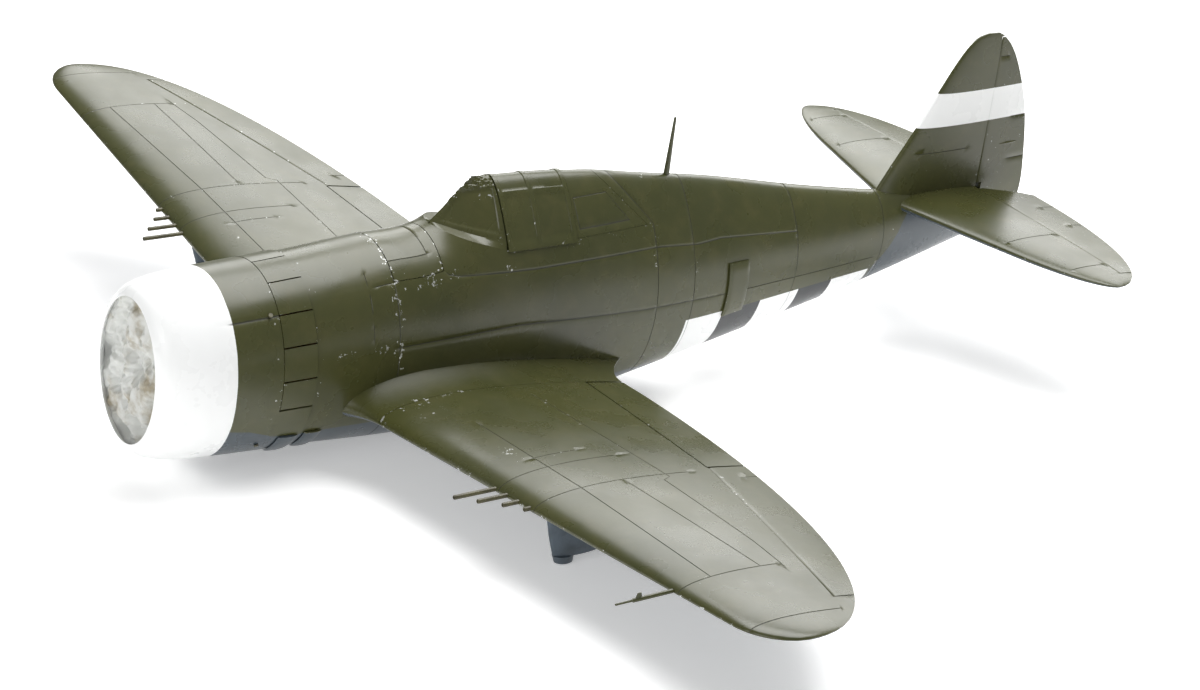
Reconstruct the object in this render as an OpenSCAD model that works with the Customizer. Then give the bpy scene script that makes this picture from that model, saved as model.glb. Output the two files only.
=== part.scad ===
// Radial-engined razorback fighter, a 1:12 electric radio-controlled model.
// Design axes: x to the pilot's left, y aft from the cowl lip, z up from the thrust line.

/* [Wing] */
// Half of the wing span
half_span = 518; // [505:1:525]
// Rise of each wing panel in degrees
dihedral = 6.4; // [5.5:0.1:7]
// Thickness of each wing skin
wing_skin = 1.4; // [1:0.1:1.6]
// Thickness of the wing at its root, as a share of the chord
wing_thickness = 0.115; // [0.11:0.001:0.12]

/* [Fuselage] */
// Thickness of the fuselage and cowling skins
skin = 2; // [1.6:0.1:2.2]
// Height of the thrust line above the belly
thrust_height = 92; // [92:1:96]

/* [Power] */
// Radius of the motor's rotating can
motor_r = 17.5; // [16:0.5:18]
// Radius of the propeller stud
stud_r = 3; // [2.5:0.5:4]
// Radius of the ring that the dummy cylinder heads reach
cylinder_reach = 49; // [46:1:50]

/* [Controls] */
// Radius of the linkage arms and horns on the wing
wing_arm = 14; // [13:1:15]
// Radius of the elevator's arm and horn
elevator_arm_r = 10; // [9:1:11]
// Radius of the rudder's arm and horn
rudder_arm_r = 12; // [11:1:13]

/* [Hidden] */
$fn = 48;

olive = [0.36, 0.34, 0.22];
sea_grey = [0.35, 0.4, 0.45];
white = [0.93, 0.94, 0.93];
metal = [0.62, 0.62, 0.63];
dark = [0.16, 0.16, 0.17];
ply = [0.72, 0.58, 0.4];

length = 877.5;
gap = 0.6;             // running gap beside moving panels
cove = 0.9;            // running gap round their noses

// Fuselage stations: y, top, bottom, half width, height of the widest line, narrowing of the upper half
FUSELAGE = [
    [124, 67, -83, 59, -8, -0.05], [192, 73, -89, 58, -8, -0.05], [247, 78, -92, 57, -8, 0.05],
    [284, 108, -92, 55.5, -8, 0.45], [300, 110, -92, 55, -8, 0.45],
    [386, 105, -88, 52, -6, 0.45], [442, 96, -80, 49, -4, 0.45],
    [517, 84, -67, 43, 0, 0.4], [604, 66, -52, 34, 5, 0.3], [658, 56, -42, 28, 8, 0.26],
    [700, 49, -34, 23, 10, 0.17], [742, 44, -25, 18, 12, 0.08], [822, 37, -6, 9, 16, 0]];
// Cowling stations, in the same columns
COWL = [
    [0, 52, -62, 42, -5, 0], [4, 57, -69, 49, -5, 0], [14, 61, -74, 55, -6, -0.03],
    [36, 64, -78, 59, -7, -0.05], [72, 66, -81, 60, -8, -0.05], [124, 68, -84, 60, -8, -0.05]];
shell_stations = [124, 150, 173, 196, 220, 247, 270, 292, 320, 350, 386, 415, 442, 480, 517, 560, 604,
    632, 658, 680, 700, 722, 742, 765, 790, 821];
// Fin and rudder stations: z, leading edge, trailing edge
FIN = [[-6, 694, 862], [10, 694, 873], [30, 696, 877.5], [56, 710, 875], [102, 739, 865],
    [131, 756, 853.5], [156, 771, 840], [170, 781.5, 829], [178, 791, 819], [181, 803, 812]];

cowl_end = 95;
flap_end = 123;
hatch_y = [195.5, 241];
hatch_a = 49;          // edge of the battery hatch, as an angle up from the side
hood_y = [298.5, 364];
hood_a = 36.5;
sill_z = 64;
glazing_end = [388, 437];   // slanted rear edge: y at the top, y at the sill

rudder_y = 820;
elevator_y = 818;
tail_z = 34.8;
tail_half = 205;

wing_root_x = 88;
wing_z0 = -44.2;
incidence = 1;
hinge_x = [267.4, 476.5];
flap_x = [90, 266.4];
pylon_x = 260;
gun_x = [228, 241, 254, 267];
gun_tip_y = [135, 146, 158, 167];
gun_r = 1.7;
pitot_x = 420;
spar_y = 228;
spar_r = 5;

// ---- sums and smooth curves ----
function sum(v, i = 0) = i == len(v) ? 0 : v[i] + sum(v, i + 1);
function unit(v) = v / norm(v);
function flat(rows) = [for (row = rows) each row];
function span_index(T, y) = max([for (j = [0 : len(T) - 2]) if (j == 0 || T[j][0] <= y) j]);
function slope(T, k, i) =
    let (a = max(i - 1, 0), b = min(i + 1, len(T) - 1)) (T[b][k] - T[a][k]) / (T[b][0] - T[a][0]);
// Column k of table T at y, on a smooth curve through the rows
function smooth(T, k, y) =
    let (i = span_index(T, y), h = T[i + 1][0] - T[i][0], t = (y - T[i][0]) / h)
    (2 * t ^ 3 - 3 * t ^ 2 + 1) * T[i][k] + (t ^ 3 - 2 * t ^ 2 + t) * h * slope(T, k, i)
    + (3 * t ^ 2 - 2 * t ^ 3) * T[i + 1][k] + (t ^ 3 - t ^ 2) * h * slope(T, k, i + 1);
// A point of the body's skin at station y and angle a, grown outwards by g
function body(T, y, a, g = 0) =
    let (mid = smooth(T, 4, y), up = smooth(T, 1, y) + g - mid, down = mid - smooth(T, 2, y) + g,
        narrow = sin(a) > 0 ? smooth(T, 5, y) : 0)
    [(smooth(T, 3, y) + g) * cos(a) * (1 - narrow * sin(a) ^ 2), y, mid + (sin(a) > 0 ? up : down) * sin(a)];
function steps(a, b, n) = [for (i = [0 : n]) a + (b - a) * i / n];

// ---- closed solids from grids of points ----
function signed_volume(p, f) = sum([for (t = f) cross(p[t[0]], p[t[1]]) * p[t[2]]]);
module closed_solid(p, f) {
    polyhedron(p, signed_volume(p, f) > 0 ? [for (t = f) [t[2], t[1], t[0]]] : f);
}
function quads(m, n, first, wrap = false) = [for (i = [0 : m - 2], j = [0 : n - (wrap ? 1 : 2)])
    let (a = first + i * n + j, b = first + i * n + (j + 1) % n)
    each [[a, b, b + n], [a, b + n, a + n]]];
function flipped(f) = [for (t = f) [t[2], t[1], t[0]]];
// Two grids of the same size become the two faces of a shell
module thick_patch(outer, inner) {
    m = len(outer);
    n = len(outer[0]);
    k = m * n;
    rim = concat([for (j = [0 : n - 1]) j], [for (i = [1 : m - 1]) i * n + n - 1],
        [for (j = [n - 2 : -1 : 0]) (m - 1) * n + j], [for (i = [m - 2 : -1 : 1]) i * n]);
    r = len(rim);
    sides = [for (i = [0 : r - 1]) let (a = rim[i], b = rim[(i + 1) % r])
        each [[a, a + k, b + k], [a, b + k, b]]];
    closed_solid(concat(flat(outer), flat(inner)), concat(quads(m, n, 0), flipped(quads(m, n, k)), sides));
}
// Rings of points joined in order, with the two ends closed
module loft(rings) {
    m = len(rings);
    n = len(rings[0]);
    caps = [for (j = [1 : n - 2]) each [[0, j + 1, j], [(m - 1) * n, (m - 1) * n + j, (m - 1) * n + j + 1]]];
    closed_solid(flat(rings), concat(quads(m, n, 0, true), caps));
}
// Rings of points joined in order, the last one back to the first
module ring_loop(rings) {
    m = len(rings);
    n = len(rings[0]);
    all = flat(rings);
    close = [for (j = [0 : n - 1]) let (a = (m - 1) * n + j, b = (m - 1) * n + (j + 1) % n)
        each [[a, b, (j + 1) % n], [a, (j + 1) % n, j]]];
    closed_solid(all, concat(quads(m, n, 0, true), close));
}
module meshed() { resize([0, 0, 0]) children(); }
module both_sides() { children(); mirror([1, 0, 0]) children(); }
// A cylinder from p to q
module rod(p, q, r1, r2 = undef) {
    d = q - p;
    translate(p) rotate([0, acos(d.z / norm(d)), atan2(d.y, d.x)])
        cylinder(h = norm(d), r1 = r1, r2 = r2 == undef ? r1 : r2);
}
module along_y(y) { translate([0, y, 0]) rotate([-90, 0, 0]) children(); }

// ---- fuselage and cowling ----
function body_patch(T, ys, as, g) = [for (y = ys) [for (a = as) body(T, y, a, g)]];
function body_ring(T, y, g, n = 26) = [for (i = [0 : n - 1]) body(T, y, 360 * i / n - 90, g)];
module body_solid(T, ys, g) { loft([for (y = ys) body_ring(T, y, g)]); }
module side_prism(points, half = 90) {
    rotate([90, 0, 90]) translate([0, 0, -half]) linear_extrude(2 * half) polygon(points);
}
module canopy_cut() {
    side_prism([[246, 79], [299, sill_z], [glazing_end[1], sill_z],
        [glazing_end[0], 111], [glazing_end[0], 150], [246, 150]]);
}
module hatch_cut() {
    as = steps(hatch_a, 180 - hatch_a, 8);
    ys = steps(hatch_y[0], hatch_y[1], 3);
    thick_patch(body_patch(FUSELAGE, ys, as, 6), body_patch(FUSELAGE, ys, as, -6));
}
module fuselage_half() {
    as = steps(-90, 90, 13);
    meshed() difference() {
        thick_patch(body_patch(FUSELAGE, shell_stations, as, 0),
            body_patch(FUSELAGE, shell_stations, as, -skin));
        canopy_cut();
        hatch_cut();
        rod([0, spar_y, spar_z(0)], [90, spar_y, spar_z(90)], spar_r + 0.4);
        rod([0, rudder_y, -20], [0, rudder_y, 60], rudder_nose(10) + gap);
        translate([-20, elevator_y - 2.6, tail_z - 2.6]) cube([40, 12, 8]);
    }
}
module fuselage_left() { color(olive) fuselage_half(); }
module fuselage_right() {
    color(olive) meshed() difference() {
        mirror([1, 0, 0]) fuselage_half();
        translate([-30, 676, tail_z - elevator_arm_r - 2.4]) cube([20, 92, 4.8]);
        translate([-30, 762, 4]) cube([26, 70, 7]);
    }
}
module cowling() {
    ys = [3, 14, 36, 72, cowl_end];
    n = 40;
    outer = [for (y = [4, 14, 36, 72, cowl_end]) body_ring(COWL, y, 0, n)];
    inner = [for (i = [len(ys) - 1 : -1 : 0]) body_ring(COWL, ys[i], -skin - (i == 0 ? 2 : 0), n)];
    skirt = steps(-165, -15, 10);
    color(white) meshed() union() {
        ring_loop(concat([body_ring(COWL, 0, 0, n)], outer, inner));
        thick_patch(body_patch(COWL, [cowl_end - 1, flap_end], skirt, 0),
            body_patch(COWL, [cowl_end - 1, flap_end], skirt, -skin));
    }
}
// Ten cooling flaps round the back of the cowling, and two pairs of oil cooler doors below them
module cowl_flaps() {
    edges = [-14, 4, 24, 44, 67, 90];
    color(olive) for (side = [0, 1]) mirror([side, 0, 0]) {
        for (i = [0 : len(edges) - 2]) {
            as = steps(edges[i] + 0.5, edges[i + 1] - 0.5, 2);
            thick_patch(body_patch(COWL, [cowl_end + 0.5, flap_end], as, 0.6),
                body_patch(COWL, [cowl_end + 0.5, flap_end], as, -0.8));
        }
        for (door = [[103, 120, COWL], [126, 141, FUSELAGE]]) {
            as = [-62, -50, -38];
            thick_patch(body_patch(door[2], [door[0], door[1]], as, 2),
                body_patch(door[2], [door[0], door[1]], as, 0.6));
        }
    }
}

// ---- canopy ----
// Height of the sloping edge that the windscreen stands on
function screen_edge(y) = 79 - (79 - sill_z) * (y - 246) / 53;
function edge_angle(y) = let (mid = smooth(FUSELAGE, 4, y))
    asin(min(1, (screen_edge(y) - mid) / (smooth(FUSELAGE, 1, y) - mid)));
// Flat panes from the middle ridge back to the hood's front bow, on a narrow sill along the edge
module windscreen_side() {
    pane = [for (s = steps(0, 1, 5))
        let (ridge = [0, 282 - 34 * s, 111 - 31 * s], bow = body(FUSELAGE, 297.5, 90 - 49 * s))
        [for (t = steps(0, 1, 5)) ridge + (bow - ridge) * t + [20 * t * (1 - t) * s, 0, 0]]];
    sill = [for (t = steps(0, 1, 5)) let (y = 247 + 50.5 * t) body(FUSELAGE, y, edge_angle(y))];
    outer = concat(pane, [sill]);
    inner = [for (row = outer) [for (p = row) p + 1.5 * unit([0, 300, 80] - p)]];
    meshed() thick_patch(outer, inner);
}
module windscreen() { color(olive) both_sides() windscreen_side(); }
module canopy_hood() {
    ys = steps(hood_y[0], hood_y[1], 4);
    as = steps(hood_a, 180 - hood_a, 16);
    color(olive) thick_patch(body_patch(FUSELAGE, ys, as, 1.5), body_patch(FUSELAGE, ys, as, 0.3));
}
module rear_quarter_glazing() {
    ys = [hood_y[1] + 1, 376, 388, 400, 412, 425, glazing_end[1]];
    as = steps(30, 150, 16);
    color(olive) meshed() difference() {
        thick_patch(body_patch(FUSELAGE, ys, as, 0), body_patch(FUSELAGE, ys, as, -1.2));
        side_prism([[350, 0], [450, 0], [450, 150], [glazing_end[0] - 0.3, 150], [glazing_end[0] - 0.3, 111],
            [glazing_end[1] - 0.3, sill_z + 0.2], [350, sill_z + 0.2]]);
    }
}
module cockpit_tub() {
    color([0.33, 0.37, 0.24]) difference() {
        translate([-27, 290, 18]) cube([54, 84, 44]);
        translate([-25.5, 291.5, 19.5]) cube([51, 81, 60]);
    }
}
module pilot_seat() {
    color([0.3, 0.32, 0.24]) translate([0, 346, 20]) {
        difference() {
            translate([-12, -12, 0]) cube([24, 22, 12]);
            translate([-10.5, -14, 3]) cube([21, 22.5, 12]);
        }
        translate([-12, 8.5, 12]) cube([24, 1.5, 22]);
    }
}
module instrument_panel() {
    color(dark) difference() {
        translate([-23, 304, 40]) cube([46, 2, 22]);
        for (i = [-1, 0, 1]) translate([i * 13, 300, 52]) rotate([-90, 0, 0]) cylinder(h = 10, r = 4);
    }
}

// ---- wing ----
function le(x) = let (u = max(0, x / half_span - 0.922) / 0.078)
    159.3 + 0.045 * x + 34 * (1 - sqrt(max(0, 1 - u ^ 2)));
function te(x) = le(half_span) + (389.7 - le(half_span)) * (1 - min(1, x / half_span) ^ 1.854) ^ (1 / 2.149);
function section(c) = 5 * (0.2969 * sqrt(c) - 0.126 * c - 0.3516 * c ^ 2 + 0.2843 * c ^ 3 - 0.1036 * c ^ 4);
function wing_point(x, c, up, g = 0) =
    let (chord = te(x) - le(x), h = section(c) * (wing_thickness - 0.02 * x / half_span) * chord,
        mid = wing_z0 + tan(dihedral) * x - c * chord * tan(incidence))
    [x, le(x) + c * chord, mid + (up ? 1.25 * h + 0.4 * c + g : -0.75 * h - 0.4 * c - g)];
function share(x, y) = (y - le(x)) / (te(x) - le(x));
function top_z(x, y) = wing_point(x, share(x, y), true).z;
function low_z(x, y) = wing_point(x, share(x, y), false).z;
function mid_z(x, y) = (top_z(x, y) + low_z(x, y)) / 2;
function spar_z(x) = -43 + tan(dihedral) * x;
function hinge_y(x) = 331 - 0.293 * (x - 268);
function flap_y(x) = 350 - 0.125 * (x - 92);
function hinge_point(x) = [x, hinge_y(x), mid_z(x, hinge_y(x))];
span_stations = [wing_root_x, 130, 172, 215, 262, 310, 360, 405, 440, 470, 490, 504, 512, 516.5, 517.8];
chord_stations = [0, 0.012, 0.05, 0.12, 0.22, 0.35, 0.5, 0.65, 0.78, 0.88, 0.95, 1];
function wing_grid(up, depth) = [for (x = span_stations) [for (c = chord_stations)
    let (o = wing_point(x, c, up), m = (wing_point(x, c, true).z + wing_point(x, c, false).z) / 2)
    [o.x, o.y, depth == 0 ? o.z : up ? max(o.z - depth, m) : min(o.z + depth, m)]]];
module wing_solid(g = 0) {
    loft([for (x = span_stations) concat([for (c = chord_stations) wing_point(x, c, true, g)],
        [for (i = [len(chord_stations) - 1 : -1 : 0]) wing_point(x, chord_stations[i], false, g)])]);
}
module control_cut() {
    a = hinge_point(hinge_x[0] - 0.7);
    b = hinge_point(hinge_x[1] + 0.7);
    translate([0, 0, -80]) linear_extrude(160) polygon([
        [wing_root_x - 1, flap_y(wing_root_x)], [hinge_x[0] - 0.6, flap_y(hinge_x[0])], [a.x, a.y], [b.x, b.y],
        [b.x, 420], [wing_root_x - 1, 420]]);
    xs = [a.x, 310, 360, 405, 440, b.x];
    for (i = [0 : len(xs) - 2])
        rod(hinge_point(xs[i] - 0.3), hinge_point(xs[i + 1] + 0.3),
            nose_r(xs[i]) + cove, nose_r(xs[i + 1]) + cove);
}
function nose_r(x) = (top_z(x, hinge_y(x)) - low_z(x, hinge_y(x))) / 2;
module gun_holes(r) {
    for (i = [0 : 3]) along_y(gun_tip_y[i]) translate([gun_x[i], -gun_z(i), 0])
        cylinder(h = 200 - gun_tip_y[i], r = r, $fn = 16);
}
function gun_z(i) = wing_z0 + tan(dihedral) * gun_x[i] + 0.6;
module wing_skin_half(up) {
    meshed() difference() {
        thick_patch(wing_grid(up, 0), wing_grid(up, wing_skin));
        control_cut();
        gun_holes(gun_r + 0.25);
        if (!up) {
            // The flap's lower edge swings forward as it drops
            translate([0, 0, -80]) linear_extrude(100) polygon([[wing_root_x - 1, flap_y(wing_root_x) - 0.8],
                [hinge_x[0] - 0.6, flap_y(hinge_x[0]) - 0.8], [hinge_x[0] - 0.6, 400], [wing_root_x - 1, 400]]);
            linkage_slot(aileron_link());
            linkage_slot(flap_link());
            for (x = flap_hinges) hinge(flap_axis(x), flap_link(), 0);
        }
    }
}
module left_wing_upper_skin() { color(olive) wing_skin_half(true); }
module left_wing_lower_skin() { color(sea_grey) wing_skin_half(false); }
module right_wing_upper_skin() { color(olive) mirror([1, 0, 0]) wing_skin_half(true); }
module right_wing_lower_skin() { color(sea_grey) mirror([1, 0, 0]) wing_skin_half(false); }
// Concave fairing from the wing root in to the fuselage side
module wing_fillet() {
    xs = [wing_root_x - 0.5, 78, 68, 58, 48, 38];
    function ring(x) = let (g = ((wing_root_x - x) / 40) ^ 2, fore = le(x) - 12 * g, aft = te(x) + 24 * g)
        concat([for (c = chord_stations) let (z = wing_point(x, c, true).z)
            [x, fore + c * (aft - fore), z + 14 * g * sin(180 * sqrt(c))]],
            [for (i = [len(chord_stations) - 1 : -1 : 0])
                let (c = chord_stations[i], z = wing_point(x, c, false).z)
                [x, fore + c * (aft - fore), z - 5 * g * sin(180 * sqrt(c))]]);
    meshed() difference() {
        loft([for (x = xs) ring(x)]);
        body_solid(FUSELAGE, shell_stations, 0.15);
        rod([0, spar_y, spar_z(0)], [100, spar_y, spar_z(100)], spar_r + 0.4);
    }
}
module wing_fillets() { color(olive) both_sides() wing_fillet(); }
module wing_rib(x) {
    cs = [for (c = [0.04 : 0.06 : 0.7]) c];
    top = [for (c = cs) let (p = wing_point(x, c, true)) [p.y, p.z - wing_skin - 0.5]];
    low = [for (i = [len(cs) - 1 : -1 : 0]) let (p = wing_point(x, cs[i], false)) [p.y, p.z + wing_skin + 0.5]];
    difference() {
        translate([x, 0, 0]) rotate([90, 0, 90]) linear_extrude(2) polygon(concat(top, low));
        rod([x - 10, spar_y, spar_z(x - 10)], [x + 12, spar_y, spar_z(x + 12)], spar_r + 0.3);
    }
}
module wing_ribs() { color(ply) both_sides() for (x = [92, 208, 280]) wing_rib(x); }
module wing_spars() {
    color(dark) both_sides() difference() {
        rod([14, spar_y, spar_z(14)], [310, spar_y, spar_z(310)], spar_r);
        rod([13, spar_y, spar_z(13)], [311, spar_y, spar_z(311)], spar_r - 1);
    }
}
module gun_barrels() {
    color(metal) both_sides() for (i = [0 : 3]) difference() {
        along_y(gun_tip_y[i]) translate([gun_x[i], -gun_z(i), 0]) cylinder(h = 196 - gun_tip_y[i], r = gun_r);
        along_y(gun_tip_y[i] - 1) translate([gun_x[i], -gun_z(i), 0]) cylinder(h = 15, r = 1);
    }
}
module pitot_tube() {
    z = wing_z0 + tan(dihedral) * pitot_x + 0.5;
    color(olive) {
        along_y(145) translate([pitot_x, -z, 0]) cylinder(h = le(pitot_x) - 145 - 0.4, r = 1.5);
        along_y(131) translate([pitot_x, -z, 0]) cylinder(h = 14, r = 0.8);
        translate([pitot_x - 0.5, 147, z + 1]) cube([1, 6, 4]);
    }
}
// Streamlined stores pylon under each wing
module pylon() {
    rows = [[-68.5, 210, 240, 3.6], [-66, 206, 243, 5.4], [-45, 198, 252, 6.5], [-12, 188, 264, 7]];
    meshed() difference() {
        loft([for (r = rows) [for (a = [0 : 22.5 : 359])
            [pylon_x + r[3] * sin(a), (r[1] + r[2]) / 2 + (r[2] - r[1]) / 2 * cos(a), r[0]]]]);
        translate([pylon_x - 10, 222, -80]) cube([20, 50, 18]);
        wing_solid(0.1);
    }
}
module pylons() { color(sea_grey) both_sides() pylon(); }

// ---- ailerons and flaps ----
module aileron() {
    xs = [hinge_x[0], 310, 360, 405, 440, hinge_x[1]];
    loft([for (x = xs) let (y = hinge_y(x), r = nose_r(x), z = mid_z(x, y), c = share(x, y)) concat(
        [for (a = [105 : 30 : 255]) [x, y + r * cos(a), z + r * sin(a)]],
        [for (t = [0, 0.5, 1]) wing_point(x, c + (1 - c) * t, false)],
        [for (t = [1, 0.5, 0]) wing_point(x, c + (1 - c) * t, true)])]);
}
module flap() {
    xs = [flap_x[0], 130, 172, 215, flap_x[1] - 0.9];
    loft([for (x = xs) let (c = share(x, flap_y(x) + gap)) concat(
        [for (t = [0, 0.5, 1]) wing_point(x, c + (1 - c) * t, false)],
        [for (t = [1, 0.5, 0]) wing_point(x, c + (1 - c) * t, true)])]);
}
// A linkage is [hinge point, axis, aft, up, hinge to servo axis, arm radius]
function linkage(p, q, at, forward, rise, r) =
    let (e1 = unit(q - p), e3 = unit([0, 0, 1] - e1 * e1.z), e2 = cross(e3, e1))
    [at, e1, e2, e3, rise * e3 - forward * e2, r];
function aileron_link() =
    linkage(hinge_point(hinge_x[0]), hinge_point(hinge_x[1]), hinge_point(330), 62, 0, wing_arm);
function flap_axis(x) = [x, flap_y(x) + gap, low_z(x, flap_y(x) + gap) + 1.6];
function flap_link() = linkage(flap_axis(flap_x[0]), flap_axis(flap_x[1]), flap_axis(172), 66, 3, wing_arm);
module in_frame(at, L) {
    multmatrix([[L[1].x, L[2].x, L[3].x, at.x], [L[1].y, L[2].y, L[3].y, at.y],
        [L[1].z, L[2].z, L[3].z, at.z], [0, 0, 0, 1]]) children();
}
// Plate with a pin hole r below its axis; thick is along the axis
module arm_plate(r, top, thick = 1.6) {
    difference() {
        translate([-thick / 2, -2.6, -r - 2.4]) cube([thick, 5.2, r + 2.4 - top]);
        translate([-thick, 0, -r]) rotate([0, 90, 0]) cylinder(h = 2 * thick, r = 1);
    }
}
module servo_arm(L) {
    color(white) in_frame(L[0] + L[4], L) {
        arm_plate(L[5], -1);
        translate([-0.8, 0, 0]) rotate([0, 90, 0]) cylinder(h = 1.6, r = 3.4);
    }
}
module horn(L) { in_frame(L[0], L) arm_plate(L[5], L[6]); }
module pushrod(L) {
    color(metal) in_frame(L[0], L) {
        d = [0, L[4] * L[2], L[4] * L[3]];
        low = [2.4, 0, -L[5]];
        rod(low, low + d, 0.9);
        for (p = [low, low + d]) translate(p + [-4.2, 0, 0]) rotate([0, 90, 0]) cylinder(h = 5, r = 0.7);
    }
}
module linkage_slot(L) {
    in_frame(L[0] + L[4], L) translate([-1.8, -14, -30]) cube([3.6, 24, 34]);
    in_frame(L[0], L) translate([-1.8, -13, -22]) cube([3.6, 18, 23]);
}
// A hinge is a tongue on the fixed side and a pin across the slot in the moving side
module hinge(at, L, nose) {
    in_frame(at, L) {
        translate([-1.2, -nose - gap - 8, -1]) cube([2.4, nose + gap + 9.2, 2]);
        rotate([0, 90, 0]) cylinder(h = 10, r = 0.8, center = true);
    }
}
module hinge_room(at, L, nose, up = 3.4) {
    in_frame(at, L) {
        translate([-1.7, -nose - 4, -3.4]) cube([3.4, nose + 6.4, 3.4 + up]);
        rotate([0, 90, 0]) cylinder(h = 10.2, r = 0.85, center = true);
    }
}
function tail_frame(axis) = [[0, 0, 0], axis, [0, 1, 0], cross(axis, [0, 1, 0])];
aileron_hinges = [296, 376, 452];
flap_hinges = [110, 215];
elevator_hinges = [60, 150];
rudder_hinges = [62, 112, 158];
rudder_z = [-5, 2, 12, 28.5, 42, 60, 80, 102, 120, 135, 150, 162, 170, 175.6];
elevator_x = [11, 30, 60, 90, 120, 145, 165, 186];
// Body of a 9 gram servo whose output points along +x of the frame, towards the arm
module servo_body() {
    translate([-25, -6, -5.5]) cube([22, 23, 11]);
    translate([-8, -10.5, -5.5]) cube([2, 4.6, 11]);
    translate([-8, 16.9, -5.5]) cube([2, 4.6, 11]);
    translate([-3.1, 0, 0]) rotate([0, 90, 0]) cylinder(h = 2, r = 5.2);
}
module aileron_left() {
    color(olive) difference() {
        union() {
            aileron();
            horn(concat(aileron_link(), [nose_r(330) - 1]));
        }
        for (x = aileron_hinges) hinge_room(hinge_point(x), aileron_link(), nose_r(x));
    }
}
module aileron_right() { mirror([1, 0, 0]) aileron_left(); }
module flap_left() {
    color(olive) difference() {
        union() {
            flap();
            horn(concat(flap_link(), [-1.2]));
        }
        for (x = flap_hinges) hinge_room(flap_axis(x), flap_link(), 0, 4.5);
    }
}
module flap_right() { mirror([1, 0, 0]) flap_left(); }
module aileron_arm_left() { servo_arm(aileron_link()); }
module aileron_arm_right() { mirror([1, 0, 0]) servo_arm(aileron_link()); }
module flap_arm_left() { servo_arm(flap_link()); }
module flap_arm_right() { mirror([1, 0, 0]) servo_arm(flap_link()); }
module aileron_rod_left() { pushrod(aileron_link()); }
module aileron_rod_right() { mirror([1, 0, 0]) pushrod(aileron_link()); }
module flap_rod_left() { pushrod(flap_link()); }
module flap_rod_right() { mirror([1, 0, 0]) pushrod(flap_link()); }

// ---- tail ----
function fin_half(z, y) = let (l = smooth(FIN, 1, z), t = smooth(FIN, 2, z))
    section(min(1, max(0, (y - l) / (t - l)))) * 0.075 * (t - l) + 0.4;
function rudder_nose(z) = fin_half(z, rudder_y);
module fin_solid(g = 0) {
    zs = [28, 44, 60, 80, 102, 120, 135, 150, 162, 171, 177, 180, 180.8];
    cs = [0, 0.02, 0.08, 0.2, 0.4, 0.6, 0.8, 1];
    function row(z) = let (l = smooth(FIN, 1, z), t = smooth(FIN, 2, z))
        concat([for (c = cs) let (y = l + c * (t - l)) [fin_half(z, y) + g, y, z]],
            [for (i = [len(cs) - 1 : -1 : 0]) let (y = l + cs[i] * (t - l)) [-fin_half(z, y) - g, y, z]]);
    loft([for (z = zs) row(z)]);
}
module fin() {
    color(olive) meshed() difference() {
        fin_solid();
        body_solid(FUSELAGE, shell_stations, 0.15);
        translate([-20, rudder_y, 0]) cube([40, 80, 176.5]);
        for (i = [0 : len(rudder_z) - 2])
            rod([0, rudder_y, rudder_z[i]], [0, rudder_y, rudder_z[i + 1]],
                rudder_nose(rudder_z[i]) + cove, rudder_nose(rudder_z[i + 1]) + cove);
        rod([-20, elevator_y, tail_z], [20, elevator_y, tail_z], 2);
        for (z = rudder_hinges) hinge([0, rudder_y, z], tail_frame([0, 0, 1]), rudder_nose(z));
    }
}
module rudder_blade() {
    function row(z) = let (t = smooth(FIN, 2, z), r = rudder_nose(z)) concat(
        [for (a = [100 : 40 : 260]) [r * sin(a), rudder_y + r * cos(a), z]],
        [for (s = [0, 0.35, 0.7, 1]) let (y = rudder_y + s * (t - rudder_y)) [-fin_half(z, y), y, z]],
        [for (s = [1, 0.7, 0.35, 0]) let (y = rudder_y + s * (t - rudder_y)) [fin_half(z, y), y, z]]);
    meshed() difference() {
        loft([for (z = rudder_z) row(z)]);
        translate([-20, rudder_y - 20, 28.5]) cube([40, 24.5, 13]);
    }
}
module rudder() {
    color(olive) difference() {
        union() {
            rudder_blade();
            translate([-rudder_arm_r - 2.4, rudder_y - 2.6, 5.2])
                cube([rudder_arm_r + 3.4 - rudder_nose(6), 5.2, 1.6]);
        }
        translate([-rudder_arm_r, rudder_y, 4]) cylinder(h = 4, r = 1);
        for (z = rudder_hinges) hinge_room([0, rudder_y, z], tail_frame([0, 0, 1]), rudder_nose(z));
    }
}
function tail_le(x) = let (u = max(0, x / tail_half - 0.62) / 0.38)
    720.8 + 0.267 * x + 24.1 * (1 - sqrt(max(0, 1 - u ^ 2)));
function tail_te(x) = 800 + 66.9 * (1 - min(1, x / tail_half) ^ 2.7) ^ (1 / 1.96);
function tail_point(x, y, s) = let (l = tail_le(x), t = tail_te(x))
    [x, y, tail_z + s * (section(min(1, max(0, (y - l) / (t - l)))) * 0.1 * (t - l) + 0.4)];
function elevator_nose(x) = tail_point(x, elevator_y, 1).z - tail_z;
tail_stations = [4, 30, 60, 90, 120, 145, 165, 182, 194, 201, 204.2];
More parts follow.
